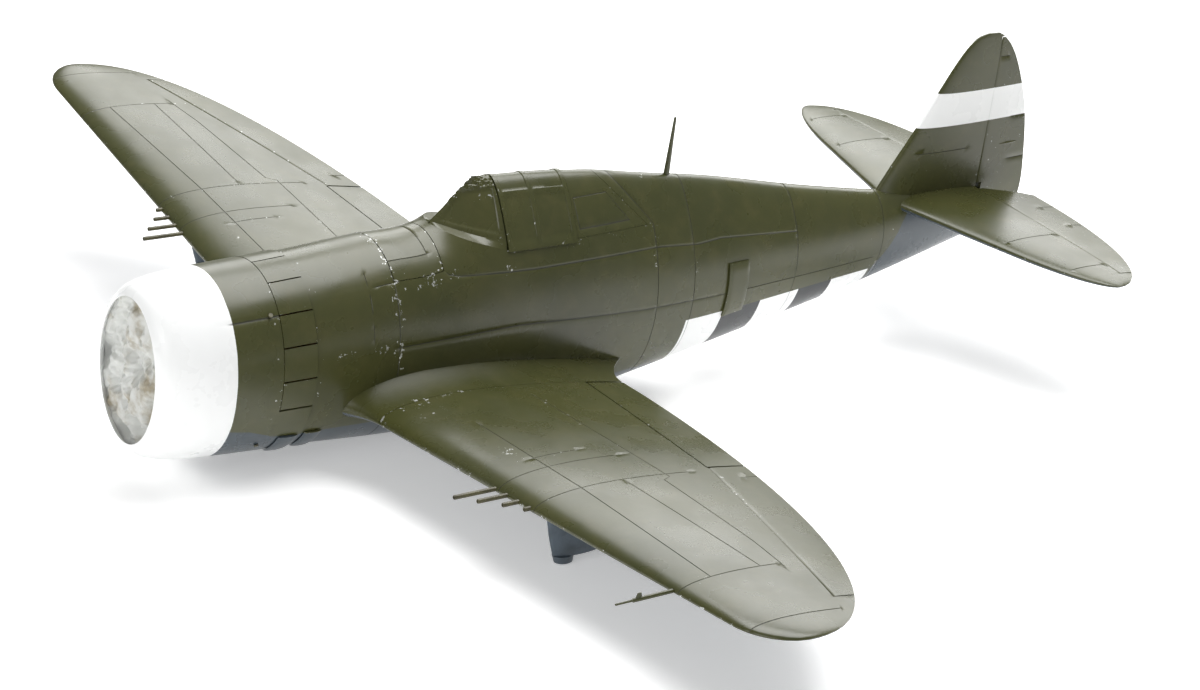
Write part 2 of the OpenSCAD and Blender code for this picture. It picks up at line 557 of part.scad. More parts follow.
module tailplane_half() {
    cs = [0, 0.02, 0.08, 0.2, 0.4, 0.6, 0.8, 1];
    function row(x) = let (l = tail_le(x), t = tail_te(x)) concat(
        [for (c = cs) tail_point(x, l + c * (t - l), 1)],
        [for (i = [len(cs) - 1 : -1 : 0]) tail_point(x, l + cs[i] * (t - l), -1)]);
    meshed() difference() {
        loft([for (x = tail_stations) row(x)]);
        body_solid(FUSELAGE, shell_stations, 0.15);
        translate([-1, elevator_y, 0]) cube([elevator_x[7] + 1.8, 80, 80]);
        for (i = [0 : 6])
            rod([elevator_x[i] - 0.8, elevator_y, tail_z], [elevator_x[i + 1] + 0.8, elevator_y, tail_z],
                elevator_nose(elevator_x[i]) + cove, elevator_nose(elevator_x[i + 1]) + cove);
        for (x = elevator_hinges) hinge([x, elevator_y, tail_z], tail_frame([1, 0, 0]), elevator_nose(x));
        translate([-1, rudder_y - 8, 0]) cube([11.4, 30, 80]);
        translate([15.2, elevator_y - 7, tail_z - 20]) cube([3.6, 14, 20]);
        fin_solid(0.2);
    }
}
module tailplane() { color(olive) both_sides() tailplane_half(); }
module elevator_half() {
    function row(x) = let (t = tail_te(x), r = elevator_nose(x)) concat(
        [for (a = [100 : 40 : 260]) [x, elevator_y + r * cos(a), tail_z + r * sin(a)]],
        [for (s = [0, 0.35, 0.7, 1]) tail_point(x, elevator_y + s * (t - elevator_y), -1)],
        [for (s = [1, 0.7, 0.35, 0]) tail_point(x, elevator_y + s * (t - elevator_y), 1)]);
    difference() {
        meshed() difference() {
            loft([for (x = elevator_x) row(x)]);
            linear_extrude(80) polygon([[0, elevator_y + 4], [11.5, elevator_y + 4], [33, 880], [0, 880]]);
        }
        rod([0, elevator_y, tail_z], [26.2, elevator_y, tail_z], 1.05);
        for (x = elevator_hinges) hinge_room([x, elevator_y, tail_z], tail_frame([1, 0, 0]), elevator_nose(x));
    }
}
module elevator_left() { color(olive) elevator_half(); }
module elevator_right() {
    color(olive) {
        mirror([1, 0, 0]) elevator_half();
        translate([-17, elevator_y, tail_z]) arm_plate(elevator_arm_r, elevator_nose(17) - 1);
    }
}
module elevator_joiner() { color(metal) rod([-26, elevator_y, tail_z], [26, elevator_y, tail_z], 1); }

// ---- fuselage linkages ----
elevator_servo_y = 392;
rudder_servo_y = 440;
module elevator_arm() {
    color(white) translate([-17, elevator_servo_y, tail_z]) {
        arm_plate(elevator_arm_r, -1);
        translate([-0.8, 0, 0]) rotate([0, 90, 0]) cylinder(h = 1.6, r = 3.4);
    }
}
module elevator_rod() {
    z = tail_z - elevator_arm_r;
    color(metal) {
        rod([-19.4, elevator_servo_y, z], [-19.4, elevator_y, z], 0.9);
        for (y = [elevator_servo_y, elevator_y])
            translate([-20, y, z]) rotate([0, 90, 0]) cylinder(h = 5, r = 0.7);
    }
}
module rudder_arm() {
    color(white) translate([0, rudder_servo_y, 6]) {
        difference() {
            translate([-rudder_arm_r - 2.4, -2.6, -0.8]) cube([rudder_arm_r + 1.4, 5.2, 1.6]);
            translate([-rudder_arm_r, 0, -2]) cylinder(h = 4, r = 1);
        }
        translate([0, 0, -0.8]) cylinder(h = 1.6, r = 3.4);
    }
}
module rudder_rod() {
    color(metal) {
        rod([-rudder_arm_r, rudder_servo_y, 8.4], [-rudder_arm_r, rudder_y, 8.4], 0.9);
        for (y = [rudder_servo_y, rudder_y]) translate([-rudder_arm_r, y, 4]) cylinder(h = 5, r = 0.7);
    }
}
module servos() {
    color([0.1, 0.16, 0.4]) {
        both_sides() for (L = [aileron_link(), flap_link()]) in_frame(L[0] + L[4], L) servo_body();
        translate([-17, elevator_servo_y, tail_z]) mirror([1, 0, 0]) servo_body();
        translate([0, rudder_servo_y, 6]) rotate([0, -90, 0]) servo_body();
    }
}

// ---- details ----
module antenna_mast() {
    color(olive) {
        translate([0, 472, 91.4]) cylinder(h = 48.6, r1 = 2.6, r2 = 1.1);
    }
}
module intercooler_doors() {
    ys = [519, 530, 541];
    as = [-20, -8, 4, 16];
    color(olive) both_sides() thick_patch(body_patch(FUSELAGE, ys, as, 2.8), body_patch(FUSELAGE, ys, as, 0.3));
}
module firewall() {
    color(ply) difference() {
        translate([0, 131, 0]) rotate([90, 0, 0]) linear_extrude(3)
            polygon([for (i = [0 : 31]) let (p = body(FUSELAGE, 126, 360 * i / 32, -skin - 0.8)) [p.x, p.z]]);
        along_y(120) cylinder(h = 20, r = 4);
    }
}
module motor_mount() {
    color(metal) {
        difference() {
            along_y(94) cylinder(h = 2.5, r = 24);
            along_y(90) cylinder(h = 10, r = 5);
        }
        for (a = [45 : 90 : 359])
            translate([19 * cos(a), 0, 19 * sin(a)]) along_y(96.5) cylinder(h = 31.5, r = 3);
    }
}
module motor_stator() {
    color(metal) difference() {
        union() {
            along_y(89) cylinder(h = 5, r = 15);
            along_y(62) cylinder(h = 27.5, r = 13.5);
        }
        along_y(50) cylinder(h = 50, r = 2.6);
    }
}
module motor_bell() {
    color(dark) {
        difference() {
            along_y(56) cylinder(h = 32, r = motor_r);
            along_y(59.5) cylinder(h = 30, r = motor_r - 2.6);
        }
        along_y(58) cylinder(h = 36, r = 2.5);
    }
}
module prop_adapter() {
    color(metal) {
        along_y(46) cylinder(h = 10, r = 8);
        along_y(22) cylinder(h = 24, r = stud_r);
    }
}
module dummy_crankcase() {
    color([0.5, 0.52, 0.54]) {
        along_y(0) rotate_extrude() polygon([[19.4, 88.4], [26.4, 88.4], [26.4, 58], [23, 53], [15, 48],
            [11.5, 47], [11.5, 49], [14.4, 50.5], [19.4, 55]]);
        difference() {
            along_y(88.2) cylinder(h = 2, r = 51);
            along_y(85) cylinder(h = 10, r = 20);
        }
    }
}
// Two rows of nine finned cylinders with their push rod tubes
module dummy_cylinders() {
    module one() {
        r = 8.2;
        rotate_extrude() polygon(concat([[0, 26.6], [6.8, 26.6]],
            [for (h = [28 : 2.6 : cylinder_reach - 4]) each [[6.8, h], [r, h], [r, h + 1.3], [6.8, h + 1.3]]],
            [[6.8, cylinder_reach - 1], [5, cylinder_reach], [0, cylinder_reach]]));
    }
    color([0.35, 0.35, 0.36]) for (row = [0, 1], i = [0 : 8])
        rotate([0, 20 * row + 40 * i, 0]) translate([0, row == 0 ? 62 : 78.6, 0]) one();
}
module formers() {
    color(ply) for (y = [253, 445, 607]) difference() {
        translate([0, y, 0]) rotate([90, 0, 0]) linear_extrude(2.4)
            polygon([for (i = [0 : 35]) let (p = body(FUSELAGE, y, 10 * i, -skin - 1))
                [p.x, min(p.z, former_top(y))]]);
        translate([0, y + 1, 0]) rotate([90, 0, 0]) linear_extrude(5)
            polygon([for (i = [0 : 35]) let (p = body(FUSELAGE, y, 10 * i, -skin - 6))
                [p.x, min(p.z, former_top(y) - 6)]]);
    }
}
function former_top(y) = y < 300 ? 62 : 200;
module flight_battery() {
    color([0.12, 0.3, 0.6]) translate([-17, 160, 12]) cube([34, 75, 24]);
    color(ply) translate([-24, 136, 8.8]) cube([48, 108, 3]);
}
module speed_controller() { color(dark) translate([-13, 140, -30]) cube([26, 52, 9]); }
module receiver() { color(dark) translate([-12, 300, -10]) cube([24, 44, 13]); }
module hinges() {
    color(metal) {
        both_sides() {
            for (x = aileron_hinges) hinge(hinge_point(x), aileron_link(), nose_r(x));
            for (x = flap_hinges) hinge(flap_axis(x), flap_link(), 0);
            for (x = elevator_hinges) hinge([x, elevator_y, tail_z], tail_frame([1, 0, 0]), elevator_nose(x));
        }
        for (z = rudder_hinges) hinge([0, rudder_y, z], tail_frame([0, 0, 1]), rudder_nose(z));
    }
}
module screws() {
    color(metal) for (i = [0 : 3]) {
        p = body(COWL, 88, 45 + 90 * i, 0.4);
        n = unit([p.x, 0, p.z + 8]);
        rod(p, p + 1.1 * n, 1.7);
    }
}
module battery_hatch() {
    as = steps(hatch_a + 0.6, 180 - hatch_a - 0.6, 10);
    ys = steps(hatch_y[0] + 0.6, hatch_y[1] - 0.6, 4);
    color(olive) thick_patch(body_patch(FUSELAGE, ys, as, 0), body_patch(FUSELAGE, ys, as, -skin));
}
// Wad of masking tissue that fills the mouth of the cowling
module masking_tissue() {
    rows = [[4.5, -12], [6, -6], [9, -4.6], [12, -4.8], [15, -7], [17, -14]];
    color([0.9, 0.9, 0.88]) loft([for (r = rows) [for (p = body_ring(COWL, 0, r[1], 28)) [p.x, r[0], p.z]]]);
}

module place() { translate([0, -length / 2, thrust_height]) children(); }

place() fuselage_left();
place() fuselage_right();
place() cowling();
place() cowl_flaps();
place() windscreen();
place() rear_quarter_glazing();
place() cockpit_tub();
place() pilot_seat();
place() instrument_panel();
place() antenna_mast();
place() wing_fillets();
place() left_wing_upper_skin();
place() left_wing_lower_skin();
place() right_wing_upper_skin();
place() right_wing_lower_skin();
place() wing_ribs();
place() wing_spars();
place() gun_barrels();
place() pitot_tube();
place() pylons();
place() tailplane();
place() fin();
place() intercooler_doors();
place() firewall();
place() motor_mount();
place() motor_stator();
place() dummy_crankcase();
place() dummy_cylinders();
place() formers();
place() flight_battery();
place() speed_controller();
place() receiver();
place() servos();
place() hinges();
place() screws();
place() motor_bell();
place() prop_adapter();
place() canopy_hood();
place() battery_hatch();
place() masking_tissue();
place() aileron_left();
place() aileron_right();
place() flap_left();
place() flap_right();
place() elevator_left();
place() elevator_right();
place() elevator_joiner();
place() rudder();
place() aileron_arm_left();
place() aileron_arm_right();
place() flap_arm_left();
place() flap_arm_right();
place() elevator_arm();
place() rudder_arm();
place() aileron_rod_left();
place() aileron_rod_right();
place() flap_rod_left();
place() flap_rod_right();
place() elevator_rod();
place() rudder_rod();
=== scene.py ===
import math

import bmesh
import bpy
import numpy as np
from mathutils import Matrix, Vector, noise


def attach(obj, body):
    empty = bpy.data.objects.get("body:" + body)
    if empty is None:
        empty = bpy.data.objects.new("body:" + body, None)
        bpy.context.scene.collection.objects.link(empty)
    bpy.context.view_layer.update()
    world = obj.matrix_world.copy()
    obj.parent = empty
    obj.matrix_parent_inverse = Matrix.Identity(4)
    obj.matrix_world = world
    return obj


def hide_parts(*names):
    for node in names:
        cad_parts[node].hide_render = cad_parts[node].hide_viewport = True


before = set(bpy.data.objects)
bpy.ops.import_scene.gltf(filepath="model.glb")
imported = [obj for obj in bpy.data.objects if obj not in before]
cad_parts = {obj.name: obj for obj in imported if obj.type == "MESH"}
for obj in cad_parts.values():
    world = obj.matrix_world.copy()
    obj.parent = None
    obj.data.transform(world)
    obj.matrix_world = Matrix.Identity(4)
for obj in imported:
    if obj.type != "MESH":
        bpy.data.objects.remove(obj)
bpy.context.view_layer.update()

# Design millimetres: x to the pilot's left, y aft from the cowl lip, z up from the thrust line
LENGTH = 877.5
THRUST_HEIGHT = 92.0
SKIN = 2.0
HALF_SPAN = 518.0
DIHEDRAL = math.radians(6.4)
INCIDENCE = math.radians(1.0)
WING_THICKNESS = 0.115
WING_SKIN = 1.4
WING_ROOT_X = 88.0
WING_Z0 = -44.2
TAIL_HALF = 205.0
TAIL_Z = 34.8
RUDDER_Y = 820.0
ELEVATOR_Y = 818.0
COWL_END = 95.0
FLAP_END = 123.0
HATCH_Y = (195.5, 241.0)
HATCH_A = 49.0
HOOD_Y = (298.5, 364.0)
HOOD_A = 36.5
SILL_Z = 64.0
GLAZING_TOP_Y = 388.0
GLAZING_SILL_Y = 437.0
SCREEN_Y = 248.0
GUN_X = (228, 241, 254, 267)
GUN_TIP_Y = (135, 146, 158, 167)
PITOT_X = 420.0
PYLON_X = 260.0
PYLON_FOOT_Z = -68.5
GROOVE = 0.28
GROOVE_ROWS = (-0.48, -0.17, 0.17, 0.48)
LINE_REACH = 0.3
# Vertices closer than this, in metres, become one
WELD = 1e-5
NOSE_TURN = np.radians(np.linspace(95, 265, 12))
WING_LE_ROOT = 159.3
WING_TE_ROOT = 389.7
WING_TIP_START = 0.922
FLAP_END_X = 266.9
AILERON_END_X = 477.5
HORN_HALF = 0.8
CREASE_DEPTH = 0.068
GLAZING_LEAN = (GLAZING_SILL_Y - GLAZING_TOP_Y) / 47

# Stations: y, top, bottom, half width, height of the widest line, narrowing of the upper half
FUSELAGE = np.array([
    [124, 67, -83, 59, -8, -0.05],
    [192, 73, -89, 58, -8, -0.05],
    [247, 78, -92, 57, -8, 0.05],
    [284, 108, -92, 55.5, -8, 0.45],
    [300, 110, -92, 55, -8, 0.45],
    [386, 105, -88, 52, -6, 0.45],
    [442, 96, -80, 49, -4, 0.45],
    [517, 84, -67, 43, 0, 0.4],
    [604, 66, -52, 34, 5, 0.3],
    [658, 56, -42, 28, 8, 0.26],
    [700, 49, -34, 23, 10, 0.17],
    [742, 44, -25, 18, 12, 0.08],
    [822, 37, -6, 9, 16, 0]])
COWL = np.array([
    [0, 52, -62, 42, -5, 0],
    [4, 57, -69, 49, -5, 0],
    [14, 61, -74, 55, -6, -0.03],
    [36, 64, -78, 59, -7, -0.05],
    [72, 66, -81, 60, -8, -0.05],
    [124, 68, -84, 60, -8, -0.05]])
# Fin and rudder: z, leading edge, trailing edge
FIN = np.array([
    [-6, 694, 862],
    [10, 694, 873],
    [30, 696, 877.5],
    [56, 710, 875],
    [102, 739, 865],
    [131, 756, 853.5],
    [156, 771, 840],
    [170, 781.5, 829],
    [178, 791, 819],
    [181, 803, 812]])


# ---- curves and surfaces ----
def smooth(table, column, at):
    """Column of a table on a smooth curve through its rows."""
    at = np.asarray(at, float)
    last = len(table) - 1
    i = np.clip(np.searchsorted(table[:, 0], at, side="right") - 1, 0, last - 1)
    before = np.maximum(i - 1, 0)
    after = np.minimum(i + 2, last)
    start = table[i]
    end = table[i + 1]
    step = end[..., 0] - start[..., 0]
    t = (at - start[..., 0]) / step
    slope_a = (end[..., column] - table[before][..., column]) / (end[..., 0] - table[before][..., 0])
    slope_b = (table[after][..., column] - start[..., column]) / (table[after][..., 0] - start[..., 0])
    rise = (2 * t**3 - 3 * t**2 + 1) * start[..., column] + (3 * t**2 - 2 * t**3) * end[..., column]
    return rise + (t**3 - 2 * t**2 + t) * step * slope_a + (t**3 - t**2) * step * slope_b


def xyz(x, y, z):
    """Points from their coordinates, any of which may be one number."""
    return np.stack(np.broadcast_arrays(x, y, z), axis=-1).astype(float)


def body(table, y, angle, grow=0.0):
    """Point of a body's skin at station y and angle in degrees, grown outwards."""
    a = np.radians(angle)
    high = np.sin(a) > 0
    mid = smooth(table, 4, y)
    up = smooth(table, 1, y) + grow - mid
    down = mid - smooth(table, 2, y) + grow
    narrow = np.where(high, smooth(table, 5, y), 0)
    x = (smooth(table, 3, y) + grow) * np.cos(a) * (1 - narrow * np.sin(a) ** 2)
    z = mid + np.where(high, up, down) * np.sin(a)
    return xyz(x, y, z)


def angle_at(table, y, z):
    """Angle at which a body's skin reaches height z."""
    mid = smooth(table, 4, y)
    reach = np.where(z > mid, smooth(table, 1, y) - mid, mid - smooth(table, 2, y))
    return np.degrees(np.arcsin(np.clip((z - mid) / reach, -1, 1)))


def section(c):
    """Half thickness of the aerofoil at share c of the chord."""
    return 5 * (0.2969 * np.sqrt(c) - 0.126 * c - 0.3516 * c**2 + 0.2843 * c**3 - 0.1036 * c**4)


def wing_le(x):
    """Leading edge: nearly straight, then round at the tip. wing_te is the trailing edge."""
    u = np.maximum(0, x / HALF_SPAN - WING_TIP_START) / 0.078
    return WING_LE_ROOT + 0.045 * x + 34 * (1 - np.sqrt(np.maximum(0, 1 - u**2)))


def wing_te(x):
    tip = wing_le(HALF_SPAN)
    return tip + (WING_TE_ROOT - tip) * (1 - np.minimum(1, x / HALF_SPAN) ** 1.854) ** (1 / 2.149)


def wing_plane(x):
    """Height of the wing's leading edge."""
    return WING_Z0 + math.tan(DIHEDRAL) * x


def wing_z(x, y, side, grow=0.0):
    """Height of the wing's skin, side 1 for the top and -1 for underneath."""
    chord = wing_te(x) - wing_le(x)
    c = np.clip((y - wing_le(x)) / chord, 0, 1)
    h = section(c) * (WING_THICKNESS - 0.02 * x / HALF_SPAN) * chord
    mid = wing_plane(x) - c * chord * math.tan(INCIDENCE)
    return mid + np.where(side > 0, 1.25 * h + 0.4 * c + grow, -0.75 * h - 0.4 * c - grow)


def hinge_y(x):
    return 331 - 0.293 * (x - 268)


def flap_y(x):
    return 350 - 0.125 * (x - 92)


def nose_r(x):
    y = hinge_y(x)
    return (wing_z(x, y, 1) - wing_z(x, y, -1)) / 2


def fin_half(z, y):
    front = smooth(FIN, 1, z)
    chord = smooth(FIN, 2, z) - front
    return section(np.clip((y - front) / chord, 0, 1)) * 0.075 * chord + 0.4


def tail_le(x):
    u = np.maximum(0, x / TAIL_HALF - 0.62) / 0.38
    return 720.8 + 0.267 * x + 24.1 * (1 - np.sqrt(np.maximum(0, 1 - u**2)))


def tail_te(x):
    return 800 + 66.9 * (1 - np.minimum(1, x / TAIL_HALF) ** 2.7) ** (1 / 1.96)


def tail_half_thickness(x, y):
    chord = tail_te(x) - tail_le(x)
    return section(np.clip((y - tail_le(x)) / chord, 0, 1)) * 0.1 * chord + 0.4


def placed(points):
    """Design millimetres to metres in the shared frame."""
    p = np.asarray(points, float)
    return (p + np.array([0, -LENGTH / 2, THRUST_HEIGHT])) / 1000


# ---- meshes ----
class Patches:
    """Grids of points gathered into one mesh, each grid a shell with an outer and an inner face."""

    def __init__(self):
        self.verts = []
        self.faces = []
        self.line = []
        self.wear = []
        self.under = []

    def points(self, net, line, wear, under):
        net = placed(net).reshape(-1, 3)
        first = len(self.verts)
        self.verts.extend(net)
        for store, value in ((self.line, line), (self.wear, wear), (self.under, under)):
            store.extend(np.broadcast_to(np.asarray(value, float).ravel(), (len(net),)))
        return first

    def shell(self, outer, inner, keep=None, line=0.0, wear=0.0, under=0.0, mirror=False):
        if mirror:
            outer = outer * np.array([-1, 1, 1])
            inner = inner * np.array([-1, 1, 1])
        m, n = outer.shape[:2]
        if keep is None:
            keep = np.ones((m - 1, n - 1), bool)
        a = self.points(outer, line, wear, under)
        b = self.points(inner, 0.0, 0.0, under)
        edges = {}
        for i in range(m - 1):
            for j in range(n - 1):
                if not keep[i, j]:
                    continue
                loop = [i * n + j, i * n + j + 1, (i + 1) * n + j + 1, (i + 1) * n + j]
                self.faces.append([a + k for k in loop])
                self.faces.append([b + k for k in reversed(loop)])
                for p, q in zip(loop, loop[1:] + loop[:1]):
                    key = (min(p, q), max(p, q))
                    edges[key] = edges.get(key, 0) + 1
        for (p, q), used in edges.items():
            if used == 1:
                self.faces.append([a + p, b + p, b + q, a + q])

    def loft(self, rings, line=0.0, wear=0.0, under=0.0, mirror=False, looped=False):
        """Rings of points joined in order. The ends get caps, or the last ring joins the first."""
        rings = np.asarray(rings, float)
        if mirror:
            rings = rings * np.array([-1, 1, 1])
        m, n = rings.shape[:2]
        a = self.points(rings, line, wear, under)
        for i in range(m if looped else m - 1):
            this = a + i * n
            after = a + (i + 1) % m * n
            for j in range(n):
                k = (j + 1) % n
                self.faces.append([this + j, this + k, after + k, after + j])
        if not looped:
            self.faces.append([a + j for j in range(n)])
            self.faces.append([a + (m - 1) * n + j for j in reversed(range(n))])

    def made(self, name, rides, material, sharp=38.0):
        """Welds the patches into one object that rides on a body; edges over sharp degrees stay crisp."""
        mesh = bpy.data.meshes.new(name)
        mesh.from_pydata([tuple(v) for v in self.verts], [], self.faces)
        for key, values in (("line", self.line), ("wear", self.wear), ("under", self.under)):
            layer = mesh.attributes.new(key, "FLOAT", "POINT")
            layer.data.foreach_set("value", np.asarray(values, np.float32))
        bm = bmesh.new()
        bm.from_mesh(mesh)
        bmesh.ops.remove_doubles(bm, verts=bm.verts, dist=WELD)
        bmesh.ops.dissolve_degenerate(bm, edges=bm.edges, dist=WELD / 4)
        bmesh.ops.recalc_face_normals(bm, faces=bm.faces)
        for face in bm.faces:
            face.smooth = True
        for edge in bm.edges:
            edge.smooth = edge.is_manifold and edge.calc_face_angle(0) < math.radians(sharp)
        bm.to_mesh(mesh)
        bm.free()
        mesh.materials.append(material)
        obj = bpy.data.objects.new(name, mesh)
        bpy.context.scene.collection.objects.link(obj)
        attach(obj, rides)
        return obj


def rows_with(start, end, spacing, marks, fixed=()):
    """Row positions from start to end, with four rows at each engraved mark."""
    special = {start, end}
    special.update(f for f in fixed if start < f < end)
    for mark in marks:
        for off in GROOVE_ROWS:
            if start < mark + off < end:
                special.add(mark + off)
    special = sorted(special)
    rows = [special[0]]
    for value in special[1:]:
        parts = max(1, round((value - rows[-1]) / spacing))
        rows.extend(np.linspace(rows[-1], value, parts + 1)[1:])
    return np.array(rows)


def columns(rows, tracks, spacing):
    """Column positions that follow tracks. Each track is (place at each row, is a line)."""
    found = []
    owner = []
    for i, track in enumerate(tracks):
        place = track[0] + 0.0 * rows
        offsets = GROOVE_ROWS if track[1] else (0.0,)
        scale = track[2] if len(track) > 2 else 1.0
        if i > 0:
            start = found[-1]
            gap = place + offsets[0] * scale - start
            parts = max(1, int(round(np.max(gap) / spacing)))
            found.extend(start + gap * k / parts for k in range(1, parts))
            owner.extend([None] * (parts - 1))
        for off in offsets:
            found.append(place + off * scale)
            owner.append(i if abs(off) < LINE_REACH else None)
    return np.stack(found, axis=1), owner


def grid(rows, across):
    """Both coordinates at every crossing of rows and columns."""
    return np.meshgrid(rows, across, indexing="ij")


def there_and_back(values):
    """Values for a ring whose way back mirrors its way there."""
    return np.concatenate([values, values[::-1]])


def ramp(value, near, far):
    """1 at near and 0 at far."""
    return np.clip((far - value) / (far - near), 0, 1)


def within(value, low, high, blur):
    """1 between low and high, fading to 0 over blur outside them."""
    half = (high - low) / 2
    return ramp(np.abs(value - (low + high) / 2), half, half + blur)


def engrave_columns(line, owner, track, active):
    """Marks the columns of one track on the active rows."""
    for column, who in enumerate(owner):
        if who == track:
            line[active, column] = 1


def engrave_rows(line, rows, mark, active=True):
    """Marks the rows of one engraved line, wherever active."""
    near = np.abs(rows - mark) < LINE_REACH
    line[near] = np.maximum(line[near], np.broadcast_to(active, line.shape)[near])


def is_near(value, *marks):
    """Whether a row is one of those engraved for the marks."""
    return min(abs(value - mark) for mark in marks) < LINE_REACH


class Sections:
    """Rings of one loft, with their line, wear and underside values."""

    def __init__(self):
        self.rows = []

    def add(self, ring, line=0.0, wear=0.0, under=0.0):
        self.rows.append([ring] + [np.broadcast_to(value, len(ring)) for value in (line, wear, under)])

    def values(self, chosen=None):
        rows = self.rows if chosen is None else [self.rows[i] for i in chosen]
        return [np.array(column, float) for column in zip(*rows)]


# ---- material nodes ----
class Nodes:
    def __init__(self, name):
        self.material = bpy.data.materials.new(name)
        self.material.use_nodes = True
        self.tree = self.material.node_tree
        self.shader = self.tree.nodes["Principled BSDF"]
        self.place = self.node("TexCoord").outputs["Object"]
        _, self.y, self.z = self.node("SeparateXYZ", self.place).outputs

    def node(self, kind, *values):
        """New node with values or links on its first sockets."""
        node = self.tree.nodes.new("ShaderNode" + kind)
        for socket, value in zip(node.inputs, values):
            self.put(socket, value)
        return node

    def put(self, socket, value):
        if isinstance(value, bpy.types.NodeSocket):
            self.tree.links.new(value, socket)
        elif isinstance(value, (tuple, list)):
            socket.default_value = tuple(value) + (1.0,) * (len(socket.default_value) - len(value))
        else:
            socket.default_value = value

    def set(self, **values):
        for key, value in values.items():
            self.put(self.shader.inputs[key.replace("_", " ")], value)

    def math(self, operation, a, b):
        node = self.node("Math", a, b)
        node.operation = operation
        return node.outputs[0]

    def between(self, value, low, high):
        above = self.math("GREATER_THAN", value, low)
        return self.math("MULTIPLY", above, self.math("LESS_THAN", value, high))

    def smoothly(self, value, low, high, out_low=0.0, out_high=1.0):
        node = self.node("MapRange", value, low, high, out_low, out_high)
        node.interpolation_type = "SMOOTHSTEP"
        return node.outputs[0]

    def noise(self, scale, detail=4.0, roughness=0.55, stretch=None):
        node = self.node("TexNoise")
        source = self.place
        if stretch:
            mapping = self.node("Mapping", self.place)
            mapping.inputs["Scale"].default_value = stretch
            source = mapping.outputs[0]
        for key, value in (("Scale", scale), ("Detail", detail), ("Roughness", roughness), ("Vector", source)):
            self.put(node.inputs[key], value)
        return node.outputs["Fac"]

    def attribute(self, name):
        node = self.node("Attribute")
        node.attribute_name = name
        return node.outputs["Fac"]

    def mix(self, factor, a, b):
        node = self.node("Mix")
        node.data_type = "RGBA"
        for index, value in ((0, factor), (6, a), (7, b)):
            self.put(node.inputs[index], value)
        return node.outputs[2]

    def curve(self, value, points):
        """A height that depends on another through straight pieces."""
        total = points[0][1]
        for (a, low), (b, high) in zip(points, points[1:]):
            piece = self.node("MapRange", value, a, b, 0.0, high - low)
            total = self.math("ADD", piece.outputs[0], total)
        return total

    def bump(self, height, strength, distance):
        node = self.node("Bump")
        for key, value in (("Strength", strength), ("Distance", distance), ("Height", height)):
            self.put(node.inputs[key], value)
        self.put(self.shader.inputs["Normal"], node.outputs[0])


# Design heights and stations as the shared frame's metres, for materials
def frame_y(y):
    return (y - LENGTH / 2) / 1000


def frame_z(z):
    return (z + THRUST_HEIGHT) / 1000


OLIVE = (0.058, 0.060, 0.018)
OLIVE_DARK = (0.043, 0.047, 0.015)
OLIVE_PALE = (0.086, 0.079, 0.029)
SEA_GREY = (0.05, 0.066, 0.078)
WHITE = (0.90, 0.91, 0.905)
BLACK = (0.009, 0.012, 0.014)
PRIMER = (0.78, 0.79, 0.76)
PRIMER_WORN = (0.5, 0.51, 0.49)
LINE_DIRT = (0.018, 0.018, 0.014)


def airframe_paint(name, markings=None, grey_below=False):
    """Sprayed semi-gloss paint with dirt in the panel lines and chips where the wear is."""
    n = Nodes(name)
    cloud = n.noise(9.0, 5.0, 0.6)
    fine = n.noise(70.0, 4.0, 0.6)
    colour = n.mix(n.smoothly(cloud, 0.3, 0.72), OLIVE_DARK, OLIVE)
    colour = n.mix(n.math("MULTIPLY", n.smoothly(fine, 0.45, 0.8), 0.35), colour, OLIVE_PALE)
    if grey_below:
        colour = n.mix(n.smoothly(n.attribute("under"), 0.35, 0.65), colour, SEA_GREY)
    if markings:
        colour = markings(n, colour)
    line = n.attribute("line")
    colour = n.mix(n.math("MULTIPLY", n.smoothly(line, 0.2, 0.95), 0.7), colour, LINE_DIRT)
    wear = n.attribute("wear")
    speck = n.noise(300.0, 5.0, 0.66)
    patch = n.noise(55.0, 3.0, 0.6)
    amount = n.math("MULTIPLY", wear, n.smoothly(patch, 0.36, 0.62))
    limit = n.math("SUBTRACT", 0.73, n.math("MULTIPLY", amount, 0.22))
    chip = n.math("GREATER_THAN", speck, limit)
    chip = n.math("MULTIPLY", chip, n.math("GREATER_THAN", wear, 0.03))
    colour = n.mix(chip, colour, n.mix(n.smoothly(patch, 0.45, 0.6), PRIMER, PRIMER_WORN))
    rough = n.smoothly(n.noise(24.0, 4.0), 0.3, 0.75, 0.25, 0.34)
    rough = n.math("ADD", rough, n.math("MULTIPLY", line, 0.2))
    n.set(Base_Color=colour, Roughness=rough, Metallic=n.math("MULTIPLY", chip, 0.35))
    n.set(Specular_IOR_Level=0.5)
    grain = n.math("ADD", n.math("MULTIPLY", n.noise(900.0, 2.0), 0.5), n.math("MULTIPLY", chip, -0.12))
    n.bump(grain, 0.25, 0.00012)
    return n.material


# Upper edge of the grey belly at the nose, as (y, z)
NOSE_BELLY = ((47, -37), (75, -43), (99, -53), (124, -56))


def belly_grey(n, colour, places):
    """Grey below an edge that runs through places."""
    edge = n.curve(n.y, [(frame_y(y), frame_z(z)) for y, z in places])
    return n.mix(n.math("LESS_THAN", n.z, edge), colour, SEA_GREY)


def fuselage_markings(n, colour):
    """White, black and white bands low on the sides, and the grey belly below them."""
    tail = ((300, -60), (479, -62), (480, -60), (690, -40), (699, -12), (712, 3), (726, 24), (760, 60))
    colour = belly_grey(n, colour, NOSE_BELLY + tail)
    top = n.smoothly(n.y, frame_y(479), frame_y(694), frame_z(-19), frame_z(-15))
    low = n.math("LESS_THAN", n.z, top)
    for start, end, paint in ((479, 520, WHITE), (520, 563, BLACK), (563, 608, WHITE),
                              (608, 648, BLACK), (648, 694, WHITE)):
        band = n.math("MULTIPLY", low, n.between(n.y, frame_y(start), frame_y(end)))
        colour = n.mix(band, colour, paint)
    return colour


